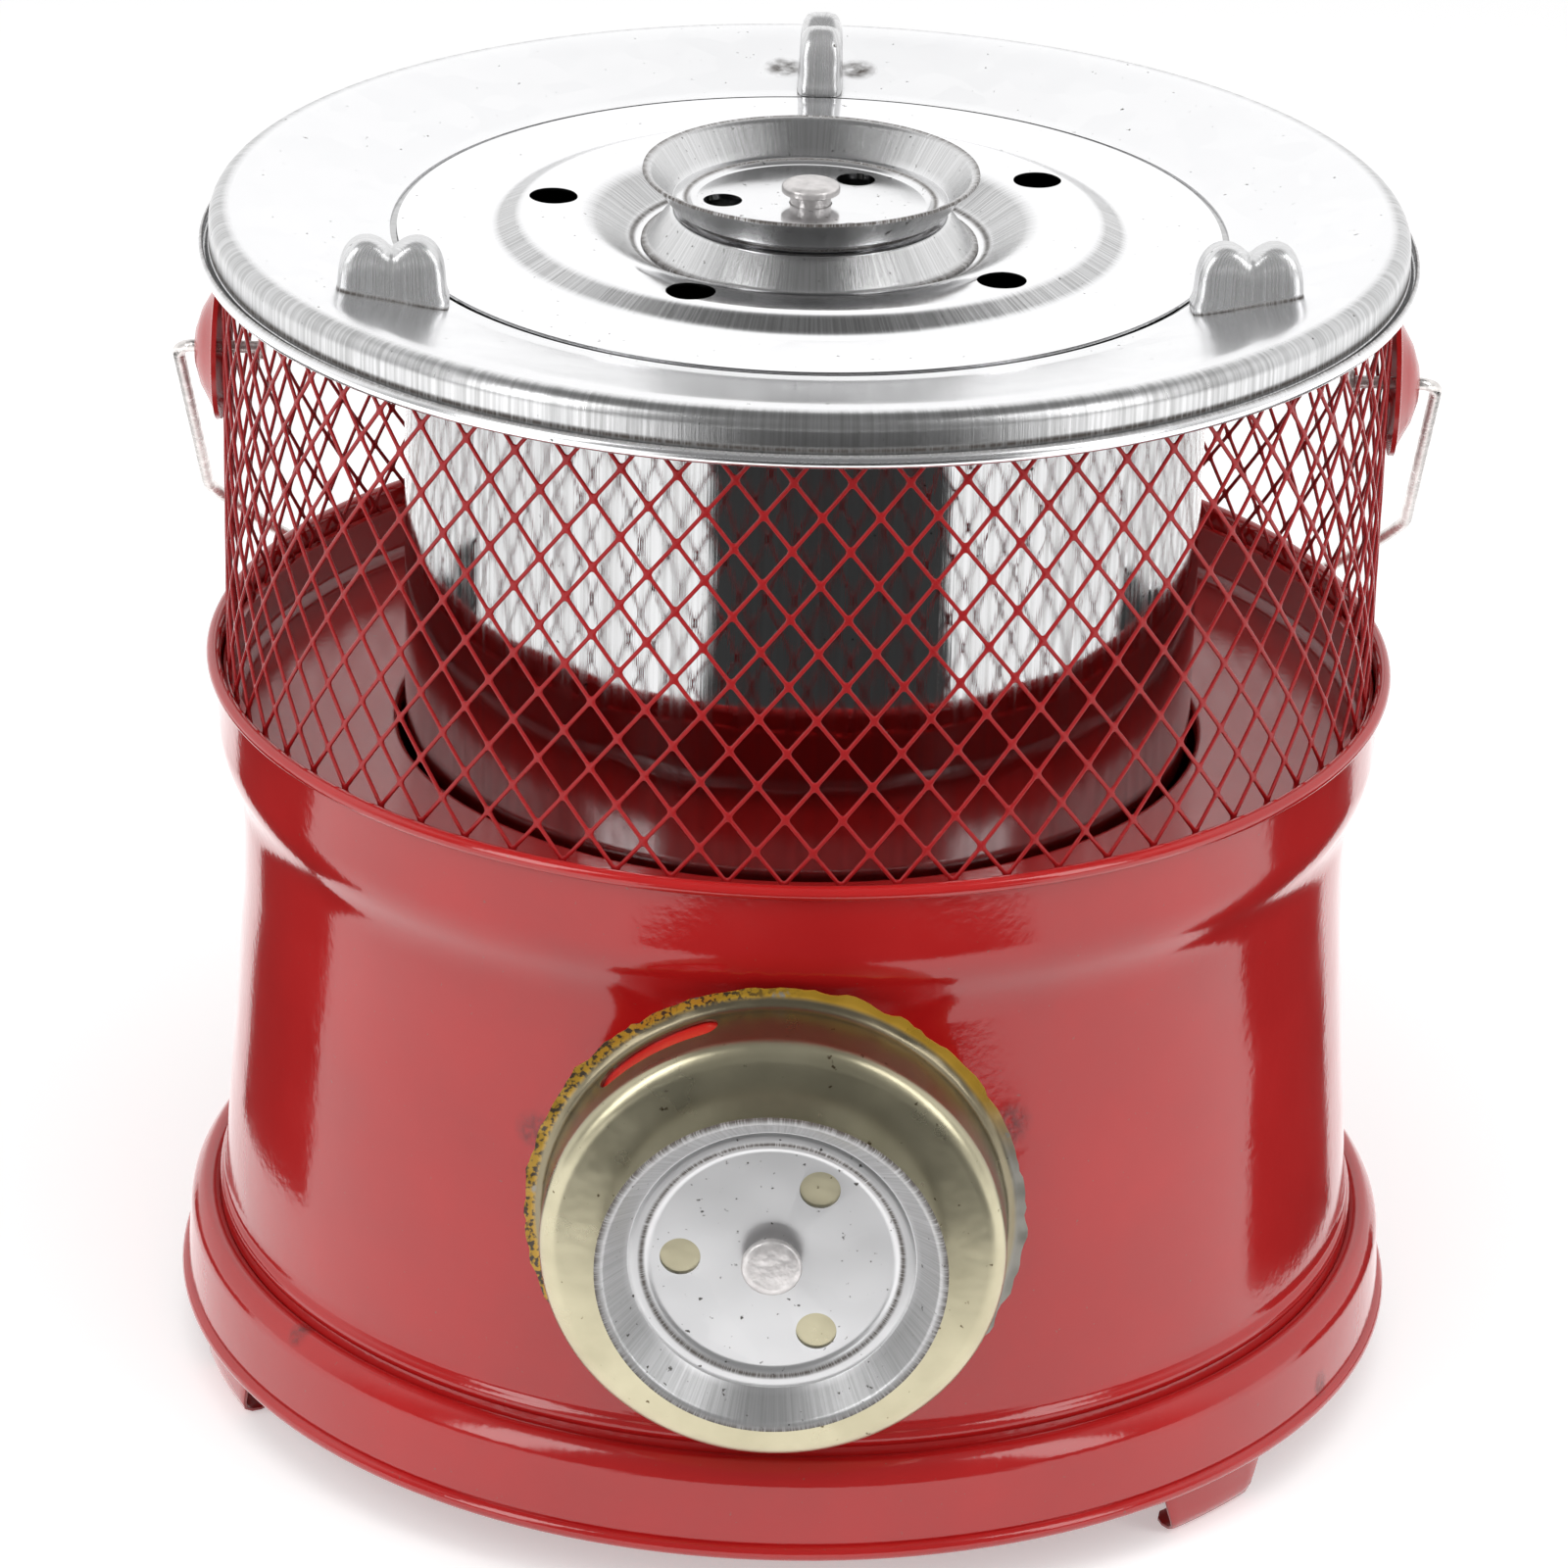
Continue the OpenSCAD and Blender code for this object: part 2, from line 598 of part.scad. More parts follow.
// wire bail, drawn in its own plane and then laid back against the body; its stretches end just short
// of each other and are joined by slightly swollen knuckles
stretch_trim = 0.1;
knuckle_swell = 0.1;
knuckle_r = wire_r + knuckle_swell;
module wire_arc(c, r, from, to) {
  trim = stretch_trim / r * 180 / PI;
  translate([c.x, c.y, 0]) rotate([0, 0, from + trim])
    rotate_extrude(angle = to - from - 2 * trim) translate([r, 0]) circle(wire_r, $fn = 32);
}
module wire_rod(from, l, turn) translate([from.x, from.y, 0]) rotate([0, 90, turn])
  cylinder(h = l, r = wire_r, $fn = 32);
module half_bail() {
  wire_rod([tail_x, 0], arm_x - bail_bend_r - tail_x - stretch_trim, 0);
  translate([tail_x - tail_head_t, 0, 0]) rotate([0, 90, 0])
    cylinder(h = tail_head_t, r = wire_r + tail_head_t);
  wire_arc([arm_x - bail_bend_r, bail_bend_r], bail_bend_r, -90, 0);
  wire_rod([arm_x, bail_bend_r + stretch_trim], corner.y - bail_bend_r - 2 * stretch_trim, 90);
  wire_arc(corner, bail_corner_r, 0, corner_a);
  for (p = [[arm_x - bail_bend_r, 0], [arm_x, bail_bend_r], [arm_x, corner.y], grip_end])
    translate([p.x, p.y, 0]) sphere(knuckle_r);
}
module bail() color(zinc) translate([0, 0, bail_z]) rotate([-bail_rest_a, 0, 0]) union() {
  half_bail();
  mirror([1, 0, 0]) half_bail();
  wire_arc([0, grip_c], bail_grip_r, corner_a, 180 - corner_a);
}

module lid_plate() color(zinc) difference() {
  spun(lid_line, zinc_sheet);
  translate([0, 0, recess_z - past]) cylinder(h = 2 * past, d = rivet_d + 2 * rivet_gap);
  for (i = [0 : vents - 1]) rotate([0, 0, vent_turn + i * 360 / vents])
    translate([vent_r, 0, recess_z]) cylinder(h = 2 * plateau_h + recess_depth, d = vent_d, $fn = 32);
}

module dish() color(zinc) translate([0, 0, zinc_sheet / 2]) difference() {
  spun(dish_line, zinc_sheet);
  translate([0, 0, -past]) cylinder(h = 2 * past, d = rivet_d + 2 * rivet_gap);
  for (a = [60, 180, 300]) rotate([0, 0, a]) translate([dish_hole_r, 0, -past])
    cylinder(h = 2 * past, d = dish_hole_d, $fn = 32);
}
module knob_lower_dish() translate([0, 0, knob_mid_z]) mirror([0, 0, 1]) dish();
module knob_upper_dish() translate([0, 0, knob_mid_z]) dish();

// rivet from the head down to the closed tail, through a stack of the given height
module rivet(stack) color(zinc) {
  translate([0, 0, zinc_sheet + rivet_stand - rivet_head_t]) cylinder(h = rivet_head_t, d = rivet_head_d);
  translate([0, 0, -stack]) cylinder(h = stack + zinc_sheet + rivet_stand - rivet_head_t, d = rivet_d);
  translate([0, 0, -stack - rivet_head_t]) cylinder(h = rivet_head_t, d = rivet_head_d);
}
module lid_rivet() translate([0, 0, knob_mid_z]) rivet(knob_mid_z - recess_z + zinc_sheet / 2);

module damper_cap() color(tin_gold) difference() {
  at_damper(flange_y) spun(cap_line, tin_sheet);
  at_damper(face_y - past) cylinder(h = 2 * past, d = rivet_d + 2 * rivet_gap);
  slot_cut(slot_turn, flange_y + slot_y, slot_w, cap_mid_r);
}
module damper_dish() at_damper(face_y) dish();
module damper_rivet() at_damper(face_y) rivet(tin_sheet);

base_pan();
body_wall();
foot_back();
foot_left();
foot_right();
tray();
air_collar();
fire_barrel();
fire_grate();
mesh_guard();
top_cover();
pot_lug_back();
pot_lug_left();
pot_lug_right();
ear_left();
ear_right();
bail();
lid_plate();
knob_lower_dish();
knob_upper_dish();
lid_rivet();
damper_cap();
damper_dish();
damper_rivet();
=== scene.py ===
"""A red enamelled charcoal stove with a mesh guard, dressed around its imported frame."""

import math

import bpy
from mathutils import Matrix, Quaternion, Vector, noise


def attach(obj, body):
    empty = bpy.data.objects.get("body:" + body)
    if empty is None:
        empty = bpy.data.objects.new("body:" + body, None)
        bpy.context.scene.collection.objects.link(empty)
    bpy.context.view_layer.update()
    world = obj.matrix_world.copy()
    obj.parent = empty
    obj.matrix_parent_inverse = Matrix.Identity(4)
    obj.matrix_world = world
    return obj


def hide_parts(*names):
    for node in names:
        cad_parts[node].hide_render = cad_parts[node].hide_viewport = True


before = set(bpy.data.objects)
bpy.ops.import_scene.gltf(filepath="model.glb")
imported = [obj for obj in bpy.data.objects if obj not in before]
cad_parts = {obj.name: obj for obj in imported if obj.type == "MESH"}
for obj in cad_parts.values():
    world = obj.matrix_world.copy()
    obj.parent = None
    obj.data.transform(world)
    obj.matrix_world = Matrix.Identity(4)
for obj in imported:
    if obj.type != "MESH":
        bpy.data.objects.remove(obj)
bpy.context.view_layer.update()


# Camera: a long lens a good metre and a third away, looking down from about 40 cm above the lid,
# and tipped by a degree and a half.
aim = Vector((-0.002385, 0.0, 0.124127))
camera_turn, camera_rise, camera_tip = (math.radians(a) for a in (0.936, 24.238, 1.47))
camera_reach = 1.36775
bpy.ops.object.select_all(action="DESELECT")
bpy.ops.object.camera_add()
camera = bpy.context.object
camera.location = aim + camera_reach * Vector((
    math.sin(camera_turn) * math.cos(camera_rise),
    -math.cos(camera_turn) * math.cos(camera_rise),
    math.sin(camera_rise),
))
level = (aim - camera.location).to_track_quat("-Z", "Y")
camera.rotation_mode = "QUATERNION"
camera.rotation_quaternion = level @ Quaternion((0, 0, 1), camera_tip)
camera.data.sensor_width = 36
camera.data.lens = 147.37
camera.data.clip_start = 0.05
bpy.context.scene.camera = camera
bpy.context.scene.view_settings.view_transform = "Standard"


# Studio: a white room with two tall soft boxes beside the camera and a wide one overhead. The room is
# white to the eye; mirrors see it bright behind the stove and dim overhead and in front; matt surfaces
# get it as a grey fill. The box overhead lights matt surfaces only.
def put(tree, kind, feeds=(), **settings):
    """Adds a shader node; a feed sets an input to a value or links it to another node's output."""
    made = tree.nodes.new("ShaderNode" + kind)
    for key, value in settings.items():
        setattr(made, key, value)
    for key, value in dict(feeds).items():
        if isinstance(value, bpy.types.NodeSocket):
            tree.links.new(value, made.inputs[key])
        else:
            made.inputs[key].default_value = value
    return made


def ramped(tree, value, start=0.0, end=1.0, low=0.0, high=1.0, kind="LINEAR"):
    """A step from low to high as a value goes from start to end, even unless another kind is named."""
    step = {"Value": value, "From Min": start, "From Max": end, "To Min": low, "To Max": high}
    return put(tree, "MapRange", step, interpolation_type=kind).outputs[0]


def eased(tree, value, start, end, low=0.0, high=1.0):
    """A soft step from low to high as a value goes from start to end."""
    return ramped(tree, value, start, end, low, high, "SMOOTHSTEP")


def sums(tree, kind, one, other):
    """Two numbers put together: their sum, product or difference, or the larger or smaller one."""
    return put(tree, "Math", {0: one, 1: other}, operation=kind).outputs[0]


room = bpy.data.worlds.new("studio_room")
bpy.context.scene.world = room
room.use_nodes = True
room_tree = room.node_tree
room_fill, room_dim, room_bright = 0.5, 0.2, 1.15
room_behind, room_overhead = (-0.35, 0.12), (0.72, 0.86)
room_ray = put(room_tree, "LightPath").outputs
way = put(room_tree, "SeparateXYZ", {0: put(room_tree, "TexCoord").outputs["Generated"]}).outputs
mirrored = sums(room_tree, "MINIMUM", eased(room_tree, way["Y"], *room_behind, room_dim, room_bright),
                eased(room_tree, way["Z"], *room_overhead, room_bright, room_dim))
room_tone = put(room_tree, "Mix", {0: room_ray["Is Glossy Ray"], 2: room_fill, 3: mirrored}).outputs[0]
room_tone = sums(room_tree, "MAXIMUM", room_tone, room_ray["Is Camera Ray"])
room_tree.links.new(room_tone, room_tree.nodes["Background"].inputs["Color"])

for box_name, place, width, height, watts in (
    ("soft_box_left", (-1.15, -0.95, 0.95), 0.5, 1.3, 9.0),
    ("soft_box_right", (1.2, -0.8, 0.95), 0.45, 1.3, 7.0),
    ("soft_box_above", (0.1, -0.5, 1.65), 1.5, 1.0, 11.0),
):
    bpy.ops.object.select_all(action="DESELECT")
    bpy.ops.object.light_add(type="AREA", location=place)
    lamp = bpy.context.object
    lamp.name = box_name
    lamp.data.shape = "RECTANGLE"
    lamp.data.size, lamp.data.size_y, lamp.data.energy = width, height, watts
    lamp.rotation_euler = (aim - Vector(place)).to_track_quat("-Z", "Y").to_euler()
    lamp.visible_glossy = box_name != "soft_box_above"

bpy.ops.object.select_all(action="DESELECT")
bpy.ops.mesh.primitive_plane_add(size=8)
floor = bpy.context.object
floor.name = "floor"
pale = bpy.data.materials.new("pale_floor")
pale.use_nodes = True
pale_tree = pale.node_tree
pale_skin = pale_tree.nodes["Principled BSDF"].inputs
pale_skin["Base Color"].default_value = (0.8, 0.8, 0.8, 1)
pale_skin["Roughness"].default_value = 0.9
pale_skin["Specular IOR Level"].default_value = 0.0
pale_skin["Emission Color"].default_value = (1, 1, 1, 1)
floor_seen, floor_mirrored = 0.4, 0.8
floor_ray = put(pale_tree, "LightPath").outputs
glow = sums(pale_tree, "ADD", sums(pale_tree, "MULTIPLY", floor_ray["Is Camera Ray"], floor_seen),
            sums(pale_tree, "MULTIPLY", floor_ray["Is Glossy Ray"], floor_mirrored))
pale_tree.links.new(glow, pale_skin["Emission Strength"])
floor.data.materials.append(pale)

# dark cards on the floor beside and in front of the stove, which only mirrors see: they give the
# bright sheet and the enamel something dark to show
shade = bpy.data.materials.new("dark_card")
shade.use_nodes = True
shade_skin = shade.node_tree.nodes["Principled BSDF"].inputs
shade_skin["Base Color"].default_value = (0.03, 0.03, 0.03, 1)
shade_skin["Roughness"].default_value = 0.9
card_lift = 0.004
for card_name, corners in (
    ("card_front", [(-0.15, -0.33), (0.24, -0.27), (1.9, -2.4), (-1.0, -2.4)]),
    ("card_left", [(-0.21, -0.027), (-0.18, 0.065), (-0.35, 0.32), (-0.5, 0.08)]),
    ("card_right", [(0.18, -0.045), (0.16, 0.04), (0.35, 0.32), (0.5, 0.08)]),
):
    bpy.ops.object.select_all(action="DESELECT")
    bpy.ops.mesh.primitive_plane_add(size=1)
    card = bpy.context.object
    card.name = card_name
    for k, corner in zip((0, 1, 3, 2), corners):
        card.data.vertices[k].co = (*corner, card_lift)
    card.data.materials.append(shade)
    card.visible_camera = card.visible_diffuse = card.visible_shadow = False


# Base pan: pressed from enamelled sheet, with a floor, a round ridge, a leaning band and a rolled
# hem. It is drawn as a line and spun round the stove's axis.
mm = 0.001
red_sheet = 0.8
red = (0.47, 0.012, 0.012, 1)


def arc(x, z, r, start, end, steps=8):
    """Points of a round stretch, in degrees from the outward direction."""
    turns = [math.radians(start + (end - start) * i / steps) for i in range(steps + 1)]
    return [(x + r * math.cos(a), z + r * math.sin(a)) for a in turns]


def bent(*corners):
    """The line through corners of (radius, height, reach of the bend), with each bend rounded. A bend
    takes up less than half of the stretch on either side of it."""
    line, steps, most = [], 6, 0.48
    shares = [k / steps for k in range(steps + 1)]
    for i, corner in enumerate(corners):
        here = Vector(corner[:2])
        if len(corner) < 3 or i in (0, len(corners) - 1):
            line.append(tuple(here))
            continue
        start, end = Vector(corners[i - 1][:2]) - here, Vector(corners[i + 1][:2]) - here
        cut = min(corner[2], most * start.length, most * end.length)
        start, end = start.normalized() * cut, end.normalized() * cut
        line += [tuple(here + start * (1 - t) ** 2 + end * t ** 2) for t in shares]
    return line


def thickened(piece, sheet, even=False):
    """Gives a surface the thickness of its sheet, half to each side, in mm."""
    wall = piece.modifiers.new("sheet", "SOLIDIFY")
    wall.thickness, wall.offset, wall.use_even_offset = sheet * mm, 0, even
    bpy.ops.object.modifier_apply(modifier="sheet")


def smoothed(piece, angle):
    """Picks a piece alone and smooths it, but for edges that are sharper than an angle."""
    bpy.ops.object.select_all(action="DESELECT")
    piece.select_set(True)
    bpy.context.view_layer.objects.active = piece
    bpy.ops.object.shade_smooth_by_angle(angle=math.radians(angle))


def spun(name, line, sheet=0.0, steps=160, smooth=40):
    """Draws a line of (radius, height) points in mm, spins it and gives it its sheet thickness."""
    bpy.ops.object.select_all(action="DESELECT")
    bpy.ops.mesh.primitive_plane_add(size=mm)
    piece = bpy.context.object
    piece.name = piece.data.name = name
    bpy.ops.object.mode_set(mode="EDIT")
    bpy.ops.mesh.merge(type="CENTER")
    bpy.ops.transform.translate(value=(line[0][0] * mm, 0, line[0][1] * mm))
    for here, there in zip(line, line[1:]):
        bpy.ops.mesh.extrude_vertices_move(TRANSFORM_OT_translate={
            "value": ((there[0] - here[0]) * mm, 0, (there[1] - here[1]) * mm)})
    bpy.ops.mesh.select_all(action="SELECT")
    bpy.ops.mesh.spin(steps=steps, angle=2 * math.pi, center=(0, 0, 0), axis=(0, 0, 1))
    bpy.ops.mesh.select_all(action="SELECT")
    bpy.ops.mesh.remove_doubles(threshold=0.01 * mm)
    bpy.ops.mesh.normals_make_consistent(inside=False)
    bpy.ops.object.mode_set(mode="OBJECT")
    if sheet:
        thickened(piece, sheet, even=True)
    smoothed(piece, smooth)
    return piece


def fit(piece, finish, body, node):
    """Gives a piece its finish and sets it on its body in place of the solid that it stands for."""
    piece.data.materials.clear()
    piece.data.materials.append(finish)
    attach(piece, body)
    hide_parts(node)


def blank(name):
    """A new material, its node tree, its shader and the place of each point on the piece."""
    finish = bpy.data.materials.new(name)
    finish.use_nodes = True
    tree = finish.node_tree
    return finish, tree, tree.nodes["Principled BSDF"], put(tree, "TexCoord").outputs["Object"]


def clouds(tree, place, scale, detail, low=0.0, high=1.0, start=0.3, end=0.7):
    """Soft noise, spread from low to high."""
    made = put(tree, "TexNoise", {"Vector": place, "Scale": scale, "Detail": detail})
    return ramped(tree, made.outputs[0], start, end, low, high)


def blend(tree, share, one, other):
    """A colour between two, by a share."""
    return put(tree, "Mix", {0: share, 6: one, 7: other}, data_type="RGBA").outputs[2]


def vectors(tree, kind, feeds, out="Vector"):
    """One step of reckoning with places."""
    return put(tree, "VectorMath", feeds, operation=kind).outputs[out]


def spot(tree, place, x, y, z, r):
    """One in the middle of a round spot at (x, y, z) in mm, fading out to its rim."""
    far = vectors(tree, "DISTANCE", {0: place, 1: (x * mm, y * mm, z * mm)}, "Value")
    return eased(tree, far, r * mm, 0.35 * r * mm)


def surfaced(tree, skin, tone, gloss, height, strength, deep=1.0):
    """Gives a shader its colour, its roughness and a relief that is so many mm deep."""
    tree.links.new(tone, skin.inputs["Base Color"])
    tree.links.new(gloss, skin.inputs["Roughness"])
    relief = put(tree, "Bump", {"Strength": strength, "Distance": deep * mm, "Height": height})
    tree.links.new(relief.outputs[0], skin.inputs["Normal"])


def enamel(name, colour, rough, marks=(), bend=1.55):
    """Glossy stoved enamel: orange peel, a slow wave in the sheet, fine pits and burnt weld marks."""
    finish, tree, skin, place = blank(name)
    deep = tuple(c * 0.86 for c in colour[:3]) + (1,)
    tone = blend(tree, clouds(tree, place, 30, 4), deep, colour)
    pits = clouds(tree, place, 900, 2, start=0.72, end=0.78)
    tone = blend(tree, pits, tone, (0.3, 0.05, 0.04, 1))
    peel = clouds(tree, place, 480, 2, high=0.16)
    wave = clouds(tree, place, 38, 1)
    height = sums(tree, "ADD", peel, wave)
    gloss = clouds(tree, place, 60, 4, low=rough, high=rough + 0.06)
    for mark in marks:
        burn = sums(tree, "MULTIPLY", spot(tree, place, *mark), clouds(tree, place, 700, 4, low=0.15))
        tone = blend(tree, burn, tone, (0.13, 0.02, 0.02, 1))
        height = sums(tree, "ADD", height, burn)
        gloss = sums(tree, "ADD", gloss, sums(tree, "MULTIPLY", burn, 0.3))
    surfaced(tree, skin, tone, gloss, height, 0.09)
    skin.inputs["IOR"].default_value = bend
    return finish


pan = spun("base_pan_skin", bent(
    (0, 30), (122.4, 30, 0.8), *arc(125.5, 29.2, 2.4, 150, 60), (129.0, 28.4, 3.4), (129.9, 15, 0.7),
    *arc(130, 12.7, 1.3, 110, -60)), red_sheet)
pan_marks = [(114.0, -60.5, 17, 4), (-98, -79, 30, 4)]
fit(pan, enamel("pan_enamel", red, 0.1, pan_marks), "stove", "base_pan")


# Drum wall: one rolled and beaded sheet of the same enamel, drawn in at the waist, stepped out to
# a band and rolled over at the lip. The hole for the air collar is cut through its front.
def bored(piece, *cutters):
    """Cuts other shapes out of a piece and throws them away."""
    for cutter in cutters:
        cut = piece.modifiers.new("cut", "BOOLEAN")
        cut.operation, cut.solver, cut.object = "DIFFERENCE", "EXACT", cutter
        bpy.context.view_layer.objects.active = piece
        bpy.ops.object.modifier_apply(modifier="cut")
        bpy.data.objects.remove(cutter, do_unlink=True)


def rod(r, length, place, sides, turn=(0, 0, 0)):
    """A round bar with so many sides, in mm."""
    bpy.ops.object.select_all(action="DESELECT")
    bpy.ops.mesh.primitive_cylinder_add(vertices=sides, radius=r * mm, depth=length * mm,
                                        location=[c * mm for c in place], rotation=turn)
    return bpy.context.object


damper_z, collar_hole_r = 86.5, 45.1
to_front = (math.pi / 2, 0, 0)
wall = spun("drum_wall", bent(
    (122.8, 30.8), *arc(121.1, 34.2, 1.7, -50, 60), (121.4, 37.8, 1), (120.9, 46, 20), (116.6, 106.8, 30),
    (116.9, 128.5, 4.5), (121.7, 138, 4.5), *arc(123.1, 156.5, 1.1, 180, -80, 12)), red_sheet, steps=192)
bored(wall, rod(collar_hole_r, 60, (0, -125, damper_z), 128, to_front))
smoothed(wall, 40)
wall_marks = [(-49.3, -108, 95, 5), (46.4, -109, 100, 6)]
fit(wall, enamel("wall_enamel", red, 0.09, wall_marks), "stove", "body_wall")


# Feet: three enamelled tongues welded inside the band, with a turned-in sole and rounded corners.
# Each is a strip laid along a bent track, tapered, and given its thickness.
def softened(piece, width, segments, angle=30):
    """Rounds the edges that are sharper than an angle, by a width in mm."""
    soft = piece.modifiers.new("edge", "BEVEL")
    soft.width, soft.segments = width * mm, segments
    soft.limit_method, soft.angle_limit = "ANGLE", math.radians(angle)
    bpy.ops.object.modifier_apply(modifier="edge")


foot_high, foot_wide, foot_narrow, foot_r, sole_round = 11, 30, 0.7, 128, 4
foot_track = bent((127.6, 24.8), (128.6, 18, 4), (127.8, 0.4, 3.2), (119.8, 0.4))
track_at = [0.0]
for here, there in zip(foot_track, foot_track[1:]):
    track_at.append(track_at[-1] + math.dist(here, there))
for foot_name, turn in (("foot_back", 80), ("foot_left", 203), ("foot_right", 316)):
    bpy.ops.object.select_all(action="DESELECT")
    bpy.ops.mesh.primitive_grid_add(x_subdivisions=10, y_subdivisions=16, size=1)
    foot = bpy.context.object
    foot.name = foot.data.name = foot_name + "_tongue"
    for corner in foot.data.vertices:
        along = (corner.co.y + 0.5) * track_at[-1]
        i = max(k for k in range(len(foot_track) - 1) if track_at[k] <= along)
        share = (along - track_at[i]) / (track_at[i + 1] - track_at[i])
        r, z = (low + (high - low) * share for low, high in zip(foot_track[i], foot_track[i + 1]))
        taper = foot_narrow + (1 - foot_narrow) * min(1, z / foot_high) ** 0.8
        ease = min(1, (track_at[-1] - along) / sole_round)
        taper *= math.sqrt(1 - (1 - ease) ** 2 * 0.5)
        a = math.radians(turn) + corner.co.x * foot_wide / foot_r * taper
        corner.co = Vector((r * math.cos(a), r * math.sin(a), z)) * mm
    thickened(foot, red_sheet)
    softened(foot, 0.25, 2, 50)
    smoothed(foot, 40)
    fit(foot, enamel(foot_name + "_enamel", red, 0.12), "stove", foot_name)


# Tray: enamelled ring pressed into the band of the wall, with a short collar round the barrel and a
# turned-in rim that carries the guard.
tray = spun("tray_ring", bent(
    (84.9, 137), (84.9, 141, 1.5), (118.6, 141, 2.5), (120.65, 143.2, 2.5), (120.85, 153.5, 0.8),
    (118.9, 153.5)), red_sheet)
fit(tray, enamel("tray_enamel", red, 0.16, bend=1.8), "stove", "tray")


# Air collar: an enamelled tube through the front of the wall. It shows only in the slot of the
# damper, so its solid stays and takes the enamel.
def dress(node, finish):
    """Gives a solid that stays in sight its finish."""
    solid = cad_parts[node]
    solid.data.materials.clear()
    solid.data.materials.append(finish)


dress("air_collar", enamel("collar_enamel", (0.6, 0.02, 0.015, 1), 0.2))


# Fire barrel: bright rolled galvanized sheet, beaded near its bottom for the grate and flanged at its
# mouth. It hangs by the flange, which is fixed under the inner edge of the ring cover.
zinc_sheet = 0.6


def brought_home(tree, place, centre, turn):
    """Where a point was before its piece was turned and set down at a centre, in mm."""
    place = put(tree, "Mapping", {"Vector": place, "Location": [-c * mm for c in centre]}).outputs[0]
    return put(tree, "Mapping", {"Vector": place, "Rotation": turn}).outputs[0]


def streaked(tree, place, fine, along, start=0.35, end=0.65, low=0.0, high=1.0):
    """Marks that run up the walls of a round piece and along the radii of its faces."""
    flat = vectors(tree, "MULTIPLY", {0: place, 1: (1, 1, 0)})
    heading = vectors(tree, "SCALE", {0: vectors(tree, "NORMALIZE", {0: flat}), "Scale": fine})
    reach = vectors(tree, "SCALE", {0: place, "Scale": along})
    return clouds(tree, vectors(tree, "ADD", {0: heading, 1: reach}), 1.0, 3, low, high, start, end)


def radius(tree, place):
    """Distance of a point from the upright axis."""
    return vectors(tree, "LENGTH", {0: vectors(tree, "MULTIPLY", {0: place, 1: (1, 1, 0)})}, "Value")


def height_of(tree, place, up):
    """Height of a point above the ground, or above a slope that up stands square on."""
    return vectors(tree, "DOT_PRODUCT", {0: place, 1: up}, "Value")


def ridge(tree, value, middle, half):
    """One where a value in metres is at the middle, in mm, fading to nought at half a width away."""
    off = sums(tree, "SUBTRACT", value, middle * mm)
    return eased(tree, put(tree, "Math", {0: off}, operation="ABSOLUTE").outputs[0], half * mm, 0.0)


